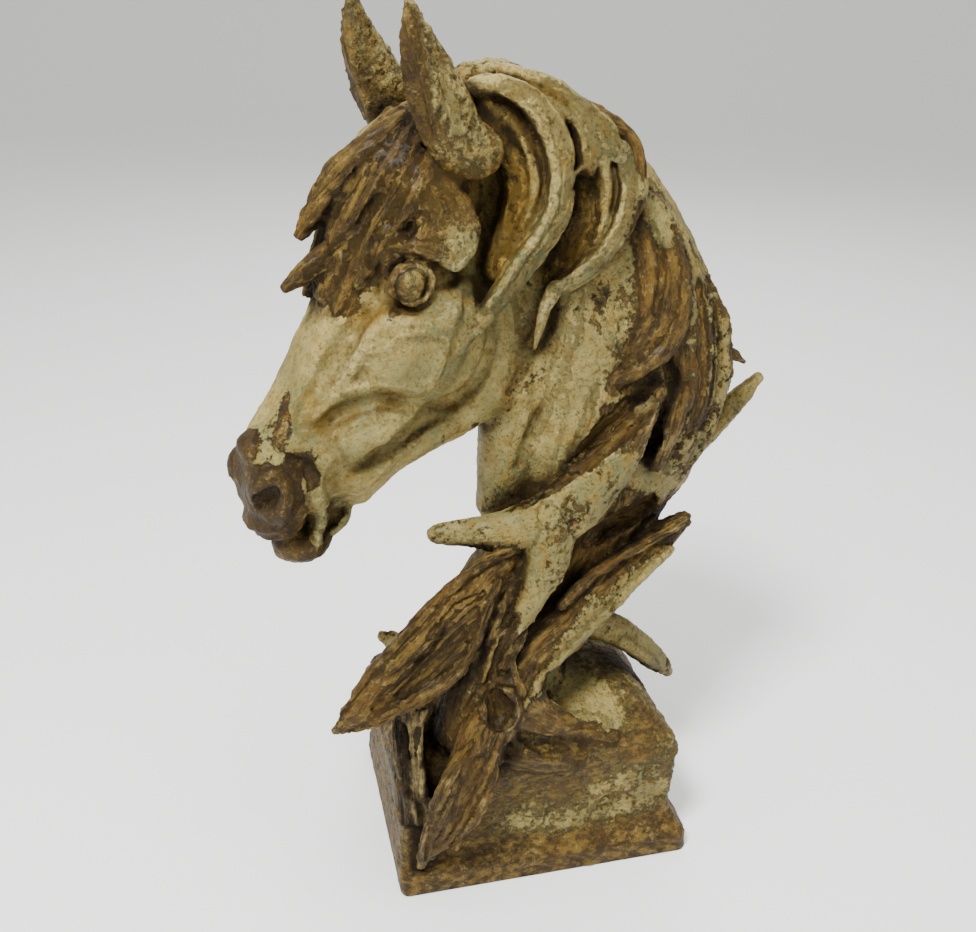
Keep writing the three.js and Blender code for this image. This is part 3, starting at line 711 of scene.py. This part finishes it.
# the grain is drawn out along each lump, and each lump has its own stretch of the pattern
GRAIN_ALONG, GRAIN_APART = 0.2, 37
bare, stain, fibre, worn = (np.zeros(len(points)) for k in range(4))
weight = np.full(len(points), 1e-6)
nearest = np.full(len(points), GRAIN_REACH)
grain = points * [1, 1, 0.4]
for number, lump in enumerate(lumps):
    near = np.flatnonzero(np.all((points > lump["low"] - LUMP_MARGIN)
                                 & (points < lump["high"] + LUMP_MARGIN), axis=1))
    if not len(near):
        continue
    here = points[near]
    distance = np.abs(lump["distance"](*here.T))
    share = np.exp(-np.minimum(distance, BLEND_END) / BLEND)
    share *= CARVED_SHARE if lump["carve"] else 1
    for total, value in zip((bare, stain, fibre, worn), FINISHES[lump["finish"]]):
        total[near] += share * value
    weight[near] += share
    closer = distance < nearest[near]
    near, here = near[closer], here[closer]
    nearest[near] = distance[closer]
    line = lump["line"]
    runs = line[1:, :3] - line[:-1, :3]
    lengths = np.linalg.norm(runs, axis=1)
    starts = np.concatenate([[0], np.cumsum(lengths)[:-1]])
    best, along = np.full(len(here), 1e9), np.zeros(len(here))
    middle = np.zeros_like(here)
    for a, run, length, start in zip(line[:-1, :3], runs, lengths, starts):
        t = np.clip((here - a) @ run / length ** 2, 0, 1)
        spot = a + t[:, None] * run
        apart = np.linalg.norm(here - spot, axis=1)
        swap = apart < best
        best[swap], along[swap], middle[swap] = apart[swap], start + (t * length)[swap], spot[swap]
    facing = (runs / lengths[:, None]).mean(0)
    facing /= np.linalg.norm(facing) + 1e-9
    up = np.cross(facing, lump["across"])
    up /= np.linalg.norm(up) + 1e-9
    offset = here - middle
    grain[near] = np.stack([along * GRAIN_ALONG + GRAIN_APART * number, offset @ up,
                            offset @ lump["across"]], axis=1)
bare, stain, fibre, worn = (total / weight for total in (bare, stain, fibre, worn))

# the plinth: bare on its foot, with a worn band of cream round its waist
on_plinth = (weight < 1e-3) | (nearest > PLINTH_GAP)
level = points[:, 2]
share = np.where(on_plinth, 1.0, 0)
plinth_bare = np.interp(level, [-6, 4, 13, 22, 38, 50, 66, 84, 90],
                        [0.98, 0.88, 0.74, 0.60, 0.56, 0.68, 0.68, 0.48, 0.40])
bare += share * (plinth_bare - bare)
stain += share * (0.38 - stain)
fibre += share * (0.34 - fibre)
worn += share * (1 - worn)
grain += share[:, None] * (points * [0.6, 0.6, 1] - grain)


def dab(marks, bare_by=0, stain_by=0, fibre_by=0):
    """Changes the paint along a stroke; each mark is x, y, z and the stroke's half width."""
    marks = np.array(marks, float)
    amount = np.zeros(len(points))
    for a, b in zip(marks[:-1], marks[1:]):
        run = b[:3] - a[:3]
        t = np.clip((points - a[:3]) @ run / max(run @ run, 1e-6), 0, 1)
        apart = np.linalg.norm(points - a[:3] - t[:, None] * run, axis=1)
        width = a[3] + t * (b[3] - a[3])
        amount = np.maximum(amount, np.exp(-(apart / width) ** 2))
    for values, change in ((bare, bare_by), (stain, stain_by), (fibre, fibre_by)):
        values += amount * change


# brown rubbed in over the eye, round it, and down towards the nose
dab(in_head([[33, 29, 333, 5], [24, 32, 336, 6], [18, 33, 340, 6]]), 0.4, 0.2, 0.3)
dab(in_head([[36, 27, 322, 5], [38, 29, 312, 5], [33, 32, 303, 4]]), 0.35, 0.5)
dab(in_head([[24, 36, 302, 4], [12, 34, 308, 4]]), 0.1, 0.45)
dab(in_head([[38, 28, 318, 4], [32, 32, 326, 5], [20, 35, 328, 5]]), 0.35, 0.2)
dab(in_head([[42, 22, 318, 8], [48, 19, 306, 8]]), 0.42, 0.4, 0.2)
dab(in_head([[48, 18, 300, 6], [40, 25, 300, 6], [30, 31, 301, 4]]), 0.12, 0.5)
dab(in_head([[8, 31, 348, 7], [2, 33, 340, 6]]), 0.2, 0)
dab(in_head([[47, 16, 306, 6], [41, 21, 299, 7], [31, 28, 295, 5]]), 0.12, 0.55)
dab(in_head([[22, 24, 350, 9], [10, 28, 352, 8], [0, 32, 342, 6]]), 0.22, 0.6)
dab(in_head([[2, 34, 334, 6], [6, 36, 326, 6]]), -0.12, -0.3)
# flakes gone from the side of the nose, and ochre in the groove under the cheek bone
dab(in_head([[74, 6, 263, 4], [76, 12, 257, 4], [77, 14, 250, 5]]), 0.6, 0.1)
dab(in_head([[71, 18, 250, 3.5], [65, 18, 251, 4], [58, 18, 255, 4], [51, 20, 258, 3.5]]), 0, 0.3)
dab(in_head([[80, 4, 252, 6], [82, 14, 244, 6], [72, 18, 240, 5]]), 0.35, 0.3)
dab(in_head([[70, 8, 268, 8], [68, 16, 258, 8]]), 0.06, 0.3)
dab(in_head([[66, 12, 262, 7], [60, 18, 248, 8], [66, 20, 238, 6]]), 0.14, 0.2)
dab(in_head([[62, 18, 252, 4], [46, 21, 257, 4], [30, 26, 258, 5], [17, 32, 257, 5]]), 0.05, 0.3)
dab(in_head([[-14, 30, 277, 4], [-8, 28, 262, 4], [4, 26, 254, 4], [20, 30, 252, 4]]), 0.05, 0.5)
dab(in_head([[47, 21, 224, 4], [27, 22, 229, 5], [8, 24, 236, 5], [-13, 25, 241, 5]]), 0.25, 0.6)
dab(in_head([[70, 15, 212, 5], [72, 13, 202, 6], [76, 6, 190, 7], [78, -4, 188, 6]]), 0.1, 1.1)
dab(in_head([[66, 17, 219, 5], [62, 15, 210, 6], [62, 13, 198, 6]]), -0.75, -0.2)
# ears: brown up their front edges
dab(in_head([[16, 34, 372, 5], [24, 33, 388, 6], [26, 31, 412, 4]]), 0.45, 0, 0.1)
dab(in_head([[-14, 40, 362, 9], [-8, 42, 356, 9], [2, 40, 354, 7]]), 0.1, 0.7)
dab(in_head([[4, 42, 372, 8], [14, 42, 390, 8], [20, 36, 410, 6]]), 0.05, -0.35)
dab(in_head([[-8, 40, 366, 10], [2, 42, 366, 8]]), -0.02, -0.3)
dab(in_head([[14, -32, 372, 10], [18, -30, 390, 10], [22, -30, 412, 8]]), 0.2, -0.2, 0.1)
# ochre run down between the ear and the great ribbon, and over the locks behind it
dab([[-23, -22, 357, 8], [-20, -34, 350, 7], [-18, -36, 330, 7], [-24, -40, 311, 6]], 0.05, 0.85)
dab([[-34, -38, 328, 6], [-33, -32, 345, 7], [-28, -28, 362, 7]], 0.1, 0.6)
dab([[-14, -33, 386, 5], [-3, -32, 376, 6], [2, -34, 364, 6], [3, -35, 354, 5]], 0.15, 0.7)
dab([[8, -36, 346, 8], [10, -36, 330, 9], [3, -36, 314, 7]], 0.45, 0.8, 0.2)
dab([[-22, -22, 390, 8], [4, -26, 382, 8], [22, -28, 368, 8], [34, -30, 352, 7]], 0.14, 0.5)
dab([[-1, -38, 350, 5], [-6, -40, 332, 5], [-17, -42, 318, 4]], -0.15, -0.35)
dab([[29, -36, 350, 4], [29, -36, 338, 4], [20, -38, 318, 4], [8, -39, 310, 4]], -0.15, -0.1)
# neck: a bare plate at the back with a pale scar at its top, and streaks below the jaw
dab([[36, -34, 330, 8], [48, -32, 318, 12], [52, -34, 298, 14], [46, -36, 276, 12],
     [32, -37, 266, 7]], 0.12, 0.1, 0.15)
dab([[37, -34, 346, 6], [46, -30, 332, 6], [50, -30, 322, 4]], -0.75, 0, -0.1)
dab([[20, -38, 312, 5], [22, -36, 300, 6], [20, -36, 286, 5]], 0.22, 0.2)
dab([[-4, -37, 290, 5], [-12, -33, 268, 6], [-22, -26, 247, 6]], 0.15, 0.85)
dab([[12, -36, 250, 10], [4, -35, 224, 12], [-6, -30, 208, 10]], -0.14, 0.1)
dab([[34, -34, 292, 8], [26, -36, 274, 8]], 0.15, 0.1)
dab([[30, -36, 250, 8], [24, -37, 236, 7]], 0.25, 0.3, 0.2)
# flecks of cream left on the bark at the top of the back
dab([[50, -24, 336, 8], [60, -26, 312, 8], [66, -30, 288, 6]], -0.3)
# the pale limb is brown and torn where it runs up into the back
dab([[36, -40, 232, 6], [44, -41, 242, 8], [53, -38, 256, 8]], 0.55, 0.2, 0.6)
dab([[24, -42, 214, 7], [8, -46, 196, 8]], 0.1, 0.3)
dab([[45, 0, 172, 12], [66, 0, 184, 13], [86, 2, 196, 8]], 0.6, 0, 0.2)
# cream left on the lower half of the brown plank
dab([[66, -27, 160, 5], [50, -34, 152, 8], [33, -41, 144, 12], [16, -47, 137, 12],
     [3, -51, 127, 9]], -0.42, 0.15, -0.05)
dab([[38, -40, 146, 3], [32, -42, 141, 4]], 0.7)
# plinth: a cream band worn across its front, cream on its top and ochre in the scoop
dab([[-20, -58, 24, 7], [8, -57, 18, 8], [34, -56, 20, 7], [62, -54, 30, 8]], -0.24)
dab([[26, -55, 38, 8], [50, -54, 44, 10], [66, -50, 58, 10]], -0.2)
dab([[4, -18, 97, 14], [18, -36, 88, 14], [32, -46, 78, 10]], -0.55, -0.2)
dab([[-10, -42, 104, 8], [4, -45, 95, 9], [16, -44, 87, 9]], -0.5, 0.1)
dab([[60, -10, 84, 14], [66, -40, 66, 10]], -0.2)
dab([[44, -20, 88, 9], [58, -42, 72, 8]], 0.2)
dab([[0, -58, 84, 6], [14, -56, 78, 6], [26, -54, 74, 5]], 0.2, 1.0)
dab([[-78, -20, 60, 14], [-78, -40, 30, 12]], 0.1)

# how enclosed each point is, felt at three distances out (ochre stain and painted shade in hollows),
# and how thin the clay is behind it (painted highlight on proud parts)
outward = []
for reach in (3, 8, 18):
    away = clay.depth_at(points + normals * reach)
    outward.append(np.clip(1 - away / reach, 0, 1))
recess = 0.3 * outward[0] + 0.4 * outward[1] + 0.3 * outward[2]
proud = np.clip(1 + clay.depth_at(points - normals * 4) / 4, 0, 1)

raw = bpy.data.meshes.new("clay_skin")
raw.vertices.add(len(points))
raw.vertices.foreach_set("co", ((points - [0, 0, UNDERSIDE]) * MM).astype(np.float32).ravel())
raw.loops.add(4 * len(quads))
raw.loops.foreach_set("vertex_index", quads.astype(np.int32).ravel())
raw.polygons.add(len(quads))
raw.polygons.foreach_set("loop_start", np.arange(0, 4 * len(quads), 4, dtype=np.int32))
raw.update(calc_edges=True)
raw.shade_smooth()
for name, values in (("bare", bare), ("stain", stain), ("fibre", fibre), ("worn", worn),
                     ("recess", recess), ("proud", proud)):
    raw.attributes.new(name, "FLOAT", "POINT").data.foreach_set("value", values.astype(np.float32))
raw.attributes.new("grain", "FLOAT_VECTOR", "POINT").data.foreach_set(
    "vector", grain.astype(np.float32).ravel())
casting = bpy.data.objects.new("horse_head_casting", raw)
bpy.context.scene.collection.objects.link(casting)

# ------------------------------------------------------------------ paint and weathering
# Old cream paint, thick as plaster, has peeled off a brown wood-like skin. The same patterns are
# used twice: in geometry nodes, which give the paint its thickness and the wood its furrows, and
# in the material, which colours them.

TRIANGLES = 190000


class Wire:
    """A node's socket that can be used in sums; each sum adds its Math node."""

    def __init__(self, tree, socket):
        self.tree, self.socket = tree, socket

    def math(self, operation, *others, swapped=False, clamp=False):
        values = [self, *others]
        if swapped:
            values.reverse()
        return self.tree.node("ShaderNodeMath", {"operation": operation, "use_clamp": clamp},
                              dict(enumerate(values)))

    def __add__(self, other):
        return self.math("ADD", other)

    def __sub__(self, other):
        return self.math("SUBTRACT", other)

    def __rsub__(self, other):
        return self.math("SUBTRACT", other, swapped=True)

    def __mul__(self, other):
        return self.math("MULTIPLY", other)

    __radd__, __rmul__ = __add__, __mul__

    def clear(self):
        """Kept between 0 and 1."""
        return self.math("ADD", 0, clamp=True)

    def step(self, low, high):
        """0 below low, 1 above high, smooth between."""
        return self.tree.node("ShaderNodeMapRange", {"interpolation_type": "SMOOTHSTEP"},
                              {"Value": self, "From Min": low, "From Max": high})


class NodeTree:
    """Adds nodes to a tree of either kind."""

    def __init__(self, tree):
        self.tree = tree

    def node(self, kind, settings=None, inputs=None, output=0):
        node = self.tree.nodes.new(kind)
        for name, value in (settings or {}).items():
            setattr(node, name, value)
        for name, value in (inputs or {}).items():
            if isinstance(value, Wire):
                self.tree.links.new(value.socket, node.inputs[name])
            else:
                node.inputs[name].default_value = value
        return Wire(self, node.outputs[output])

    def noise(self, place, size, detail=3, roughness=0.55):
        """Cloudy noise with lumps of about the given size in millimetres, mostly 0.3 to 0.7."""
        return self.node("ShaderNodeTexNoise", {}, {
            "Vector": place, "Scale": 1 / size, "Detail": detail, "Roughness": roughness})

    def cells(self, place, size, feature="F1"):
        """Distance to the middle or the edge of scattered cells of the given size."""
        return self.node("ShaderNodeTexVoronoi", {"feature": feature}, {
            "Vector": place, "Scale": 1 / size})

    def scaled(self, vector, factor):
        return self.node("ShaderNodeVectorMath", {"operation": "SCALE"},
                         {0: vector, "Scale": factor})

    def peel(self, place, bare, worn):
        """Above a half where the paint has come off, in flakes or, where worn, in fine specks."""
        wide, narrow = self.noise(place, 15, 5, 0.6), self.noise(place, 3.2, 5, 0.7)
        return (bare + (1.3 - 0.8 * worn) * (wide - 0.5)
                + (0.75 + 0.45 * worn) * (narrow - 0.5))

    def furrows(self, grain):
        """Long ridges and valleys of old wood, from 0 in a valley to 1 on a ridge."""
        wide, narrow = self.noise(grain, 6.5, 4, 0.62), self.noise(grain, 1.8, 3, 0.6)
        valley = 1 - (2 * wide - 1).math("ABSOLUTE") * 2.6
        return (1 - valley.clear()) * 0.65 + narrow * 0.35


weathering = bpy.data.node_groups.new("weathering", "GeometryNodeTree")
weathering.is_modifier = True
sockets = {}
for name, kind, value in (("Geometry", "NodeSocketGeometry", None),
                          ("Crust thickness", "NodeSocketFloat", 0.55),
                          ("Furrow depth", "NodeSocketFloat", 1.8),
                          ("Lump height", "NodeSocketFloat", 2.2),
                          ("Crack depth", "NodeSocketFloat", 1.3),
                          ("Paint", "NodeSocketMaterial", None)):
    socket = weathering.interface.new_socket(name=name, in_out="INPUT", socket_type=kind)
    sockets[name] = (socket.identifier, value)
weathering.interface.new_socket(name="Geometry", in_out="OUTPUT", socket_type="NodeSocketGeometry")
g = NodeTree(weathering)
group_input = weathering.nodes.new("NodeGroupInput")
given = {name: Wire(g, group_input.outputs[name]) for name in sockets}


def stored(name, kind="FLOAT"):
    return g.node("GeometryNodeInputNamedAttribute", {"data_type": kind}, {"Name": name})


place = g.scaled(g.node("GeometryNodeInputPosition"), 1 / MM)
grain_place = stored("grain", "FLOAT_VECTOR")
fibrous = stored("fibre")
crust = 1 - g.peel(place, stored("bare"), stored("worn")).step(0.44, 0.54)
wood_relief = (g.furrows(grain_place) - 0.8) * given["Furrow depth"] * fibrous
crack = 1 - g.cells(grain_place, 11, "DISTANCE_TO_EDGE").step(0.0, 0.09)
calm = (fibrous * 5).clear()
lump_relief = ((g.noise(place, 24, 3) - 0.5) * (fibrous * 0.7 + 0.6)
               + (g.noise(place, 9, 3) - 0.5) * 0.8
               + (g.noise(place, 3.5, 3) - 0.5) * 0.6) * given["Lump height"] * calm
relief = (crust * given["Crust thickness"] * calm + wood_relief * (1 - 0.3 * crust) + lump_relief
          - crack * given["Crack depth"] * fibrous * (1 - 0.8 * crust))
offset = g.scaled(g.node("GeometryNodeInputNormal"), relief * MM)
flat_foot = 1 - g.node("ShaderNodeSeparateXYZ", {}, {0: place}, output=2).step(0.2, 1.2)
offset = g.scaled(offset, 1 - flat_foot)
shaped = g.node("GeometryNodeSetPosition", {}, {"Geometry": given["Geometry"], "Offset": offset})
whole = g.node("GeometryNodeRealizeInstances", {}, {"Geometry": shaped})
finished = g.node("GeometryNodeSetMaterial", {}, {"Geometry": whole, "Material": given["Paint"]})
group_output = weathering.nodes.new("NodeGroupOutput")
weathering.links.new(finished.socket, group_output.inputs[0])


def colour(code):
    """Linear colour of a six-digit web code."""
    parts = [int(code[k:k + 2], 16) / 255 for k in (0, 2, 4)]
    return (*[c / 12.92 if c <= 0.04045 else ((c + 0.055) / 1.055) ** 2.4 for c in parts], 1)


CREAM, GREY_GREEN, WARM_CREAM = colour("9a8a52"), colour("67653e"), colour("7d6830")
DUST_AND_HIGHLIGHT, OCHRE, DEEP_BROWN = colour("cbc08c"), colour("74581b"), colour("160e04")
WOOD_DARK, WOOD, WOOD_PALE, WOOD_RED = (colour(c) for c in ("2f220c", "6a5422", "a08d58", "644818"))

paint = bpy.data.materials.new("weathered_casting")
paint.use_nodes = True
paint.node_tree.nodes.clear()
m = NodeTree(paint.node_tree)


def painted_on(name, output=2):
    """A value stored on the mesh."""
    return m.node("ShaderNodeAttribute", {"attribute_name": name}, output=output)


def mix(under, over, amount, how="MIX"):
    return m.node("ShaderNodeMix", {"data_type": "RGBA", "blend_type": how, "clamp_factor": True},
                  {0: amount, 6: under, 7: over}, output=2)


place = m.scaled(m.node("ShaderNodeTexCoord", output=3), 1 / MM)
grain_place = painted_on("grain", output=1)
fibrous, recessed, raised = painted_on("fibre"), painted_on("recess"), painted_on("proud")
stained_here = painted_on("stain")
calm = (fibrous * 5).clear()
rubbed = painted_on("worn")
peel = m.peel(place, painted_on("bare"), rubbed)
painted = (0.5 - (peel - 0.5) * (14 - 10.6 * rubbed)).clear()
ridge = m.furrows(grain_place)
fine = m.noise(grain_place, 0.8, 5, 0.7)
streak = m.noise(grain_place, 4.5, 4, 0.6)
cloud = m.noise(place, 32, 4)
mottle = m.noise(place, 7, 6, 0.68)
grit = m.noise(place, 1.8, 4, 0.72)
blisters = m.noise(place, 2.6, 3, 0.55)

# old cream paint: greyer or warmer in clouds, dirty in its pits, ochre where varnish has run, and pale
# on proud parts as painted highlight mixed with dust
plaster = mix(CREAM, GREY_GREEN, (cloud - 0.37) * 3.6)
plaster = mix(plaster, WARM_CREAM, (mottle - 0.44) * 4)
washed = (stained_here * 0.95 + recessed * 1.8 + (mottle - 0.5) * 2.2 - 0.66
          + (streak - 0.5) * (0.6 + 3.2 * fibrous))
plaster = mix(plaster, OCHRE, washed.clear() * 0.88)
plaster = mix(plaster, WOOD, (0.44 - blisters).step(0, 0.10) * 0.55 * calm)
plaster = mix(plaster, DEEP_BROWN, (0.47 - grit).step(0, 0.12) * 0.6 * calm)
# painted highlight on proud parts and grit, in the same pale colour as dust
plaster = mix(plaster, DUST_AND_HIGHLIGHT, (raised * 0.9 + (grit - 0.5) * 3 + (mottle - 0.5) - 0.30
                              - stained_here * 0.6).clear() * 0.7)

# bare wood-like skin: dark in its furrows, rubbed pale on its ridges, and paler still on proud parts as
# painted highlight
wood = mix(WOOD_DARK, WOOD, (ridge * 0.8 + fine * 0.6 + (mottle - 0.5) * 0.7).step(0.35, 0.95))
wood = mix(wood, WOOD_RED, (cloud - 0.47) * 4 * (1 - rubbed * 0.7))
smooth_wood = (1.3 - fibrous * 4).clear()
wood = mix(wood, WOOD_DARK, smooth_wood * (2.1 - mottle))
wood = mix(wood, OCHRE, smooth_wood * (grit * 0.8 + mottle - 0.86).clear() * 2.4)
wood = mix(wood, OCHRE, (stained_here * 0.8 + (mottle - 0.5) * 1.6 - 0.35).clear()
           * (0.6 - 0.4 * rubbed))
wood = mix(wood, DEEP_BROWN, (0.8 - stained_here * 4).clear() * fibrous * 0.8)
# pale on worn ridges of the grain, and on proud parts as painted highlight
wood = mix(wood, WOOD_PALE, (ridge * 0.5 + fine * 0.6 + raised * (0.1 + 0.7 * fibrous)
                             + (mottle - 0.5) * (2.4 - rubbed) - 0.88 - rubbed * 0.04).clear())
wood = mix(wood, DEEP_BROWN, (0.44 - fine).step(0, 0.08) * 0.75 * fibrous)
wood = mix(wood, DUST_AND_HIGHLIGHT, (grit * 0.6 + mottle * 0.6 - 0.67).step(0, 0.06) * 0.12)

surface = mix(wood, plaster, painted)
# painted shadow: a dark line along the edge of each flake of paint
flake_edge_shadow = peel.step(0.42, 0.5) * (1 - peel.step(0.5, 0.60))
surface = mix(surface, DEEP_BROWN, flake_edge_shadow * 0.5)
# dirt and painted shade: hollows darkened to deep brown by how enclosed they are
grime_and_hollow_shade = (recessed * (2.1 + painted * 0.3) - 0.34 - stained_here * 0.32 + (fine - 0.5) * 0.7
         + (mottle - 0.5) * 0.6).clear() * calm
surface = mix(surface, DEEP_BROWN, grime_and_hollow_shade * 0.85)

# the eye: painted shade in the gap where each ball meets its lids, and a small dark pupil
from_eye = None
for eye in in_head([[EYE[0] + 0.5, side * (EYE[1] + 4.2), EYE[2]] for side in (1, -1)]):
    apart = m.node("ShaderNodeVectorMath", {"operation": "DISTANCE"},
                   {0: place, 1: tuple(eye - [0, 0, UNDERSIDE])}, output=1)
    from_eye = apart if from_eye is None else from_eye.math("MINIMUM", apart)
shaded_lid_gap = 1 - (from_eye + (mottle - 0.5) * 2 - 6.9).math("ABSOLUTE").step(0.2, 1.0)
pupil = 1 - (from_eye + (grit - 0.5) * 3).step(0.9, 1.8)
surface = mix(surface, DEEP_BROWN, shaded_lid_gap * 0.6 + pupil * 0.5)

height = (painted * 0.7 * calm + ridge * fibrous * (1 - 0.2 * painted) * 1.4 + fine * fibrous * 1.0
          + (grit * 0.8 + mottle * 1.6 + blisters * 1.2) * (calm * 0.9 + 0.1)
          - shaded_lid_gap - pupil * 0.4)
bump = m.node("ShaderNodeBump", {}, {"Strength": 1.0, "Distance": MM, "Height": height})
roughness = 0.46 + 0.3 * (grit - 0.3) + 0.25 * (mottle - 0.5) + grime_and_hollow_shade * 0.2
shader = m.node("ShaderNodeBsdfPrincipled", {}, {
    "Base Color": surface, "Roughness": roughness, "Normal": bump,
    "Coat Weight": (1 - grime_and_hollow_shade) * 0.05, "Coat Roughness": 0.3, "Specular IOR Level": 0.15})
output = paint.node_tree.nodes.new("ShaderNodeOutputMaterial")
paint.node_tree.links.new(shader.socket, output.inputs["Surface"])

modifier = casting.modifiers.new("weathering", "NODES")
modifier.node_group = weathering
for name, (identifier, value) in sockets.items():
    if value is not None:
        modifier[identifier] = value
modifier[sockets["Paint"][0]] = paint
thin = casting.modifiers.new("fewer_faces", "DECIMATE")
thin.ratio = min(1, TRIANGLES / (2 * len(quads)))
evaluated = casting.evaluated_get(bpy.context.evaluated_depsgraph_get())
final_mesh = bpy.data.meshes.new_from_object(evaluated, preserve_all_data_layers=True,
                                             depsgraph=bpy.context.evaluated_depsgraph_get())
casting.modifiers.clear()
casting.data = final_mesh
final_mesh.name = "horse_head_casting"
final_mesh.shade_smooth()
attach(casting, "root")
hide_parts("horse_head_sculpture")

# ------------------------------------------------------------------ floor, light and camera
# A pale floor that curves up behind, a soft key light from the upper left, a low fill from the
# right, and soft light from above and behind. The camera looks down at the near side.

middle = (cad_box[0] + cad_box[1]) / 2
tall = cad_box[1].z
azimuth, elevation, roll = (math.radians(degrees) for degrees in (-14, 25.1, 1))
FLOOR_FRONT, FLOOR_BACK, BEND, WALL, HALF_WIDTH = (k * tall for k in (8, 6, 3, 14, 14))
BEND_STEPS = 12

profile = [(-FLOOR_FRONT, 0.0), (FLOOR_BACK, 0.0)]
for k in range(1, BEND_STEPS + 1):
    turn = k / BEND_STEPS * math.pi / 2
    profile.append((FLOOR_BACK + BEND * math.sin(turn), BEND * (1 - math.cos(turn))))
profile.append((FLOOR_BACK + BEND, WALL))
facing = Matrix.Rotation(azimuth, 3, "Z")
backdrop = []
for x in (-HALF_WIDTH, HALF_WIDTH):
    backdrop += [facing @ Vector((x, y, z)) for y, z in profile]
count = len(profile)
floor_mesh = bpy.data.meshes.new("floor")
floor_mesh.from_pydata(backdrop, [], [(k, k + count, k + count + 1, k + 1) for k in range(count - 1)])
floor_mesh.shade_smooth()
floor = bpy.data.objects.new("floor", floor_mesh)
bpy.context.scene.collection.objects.link(floor)
floor_paint = bpy.data.materials.new("pale_floor")
floor_paint.use_nodes = True
floor_shader = floor_paint.node_tree.nodes["Principled BSDF"]
for name, value in (("Base Color", (0.90, 0.90, 0.89, 1)), ("Roughness", 0.9),
                    ("Emission Color", (1, 1, 1, 1)), ("Emission Strength", 0.15)):
    floor_shader.inputs[name].default_value = value
floor_mesh.materials.append(floor_paint)


def soft_light(name, azimuth, elevation, distance, size, power, tint=(1, 1, 1)):
    """A square light that looks at the middle of the casting; azimuth 0 is the front."""
    lamp = bpy.data.lights.new(name, "AREA")
    lamp.shape, lamp.size, lamp.energy, lamp.color = "SQUARE", size, power, tint
    a, e = math.radians(azimuth), math.radians(elevation)
    away = Vector((math.sin(a) * math.cos(e), -math.cos(a) * math.cos(e), math.sin(e)))
    item = bpy.data.objects.new(name, lamp)
    item.location = middle + away * distance
    item.rotation_euler = away.to_track_quat("Z", "Y").to_euler()
    bpy.context.scene.collection.objects.link(item)


soft_light("key", -42, 55, 3.2 * tall, 0.7 * tall, 38)
soft_light("fill", 50, 20, 3.6 * tall, 2.4 * tall, 4)
soft_light("top", 20, 85, 3.2 * tall, 2.0 * tall, 12)
soft_light("back", 160, 40, 3.6 * tall, 2.0 * tall, 9)
sky = bpy.data.worlds.new("studio")
sky.use_nodes = True
sky.node_tree.nodes["Background"].inputs["Color"].default_value = (1.0, 0.99, 0.96, 1)
sky.node_tree.nodes["Background"].inputs["Strength"].default_value = 0.47
bpy.context.scene.world = sky

back = Vector((math.sin(azimuth) * math.cos(elevation), -math.cos(azimuth) * math.cos(elevation),
               math.sin(elevation)))
right = Vector((math.cos(azimuth), math.sin(azimuth), 0))
up = back.cross(right)
right, up = (right * math.cos(roll) + up * math.sin(roll), up * math.cos(roll) - right * math.sin(roll))
lens = bpy.data.cameras.new("camera")
lens.lens, lens.sensor_width = 40.57, 36
camera = bpy.data.objects.new("camera", lens)
turned = Matrix((right, up, back)).transposed().to_4x4()
place_of_camera = Vector((-140, -479, 436 - UNDERSIDE)) * MM
camera.matrix_world = Matrix.Translation(place_of_camera) @ turned
bpy.context.scene.collection.objects.link(camera)
bpy.context.scene.camera = camera
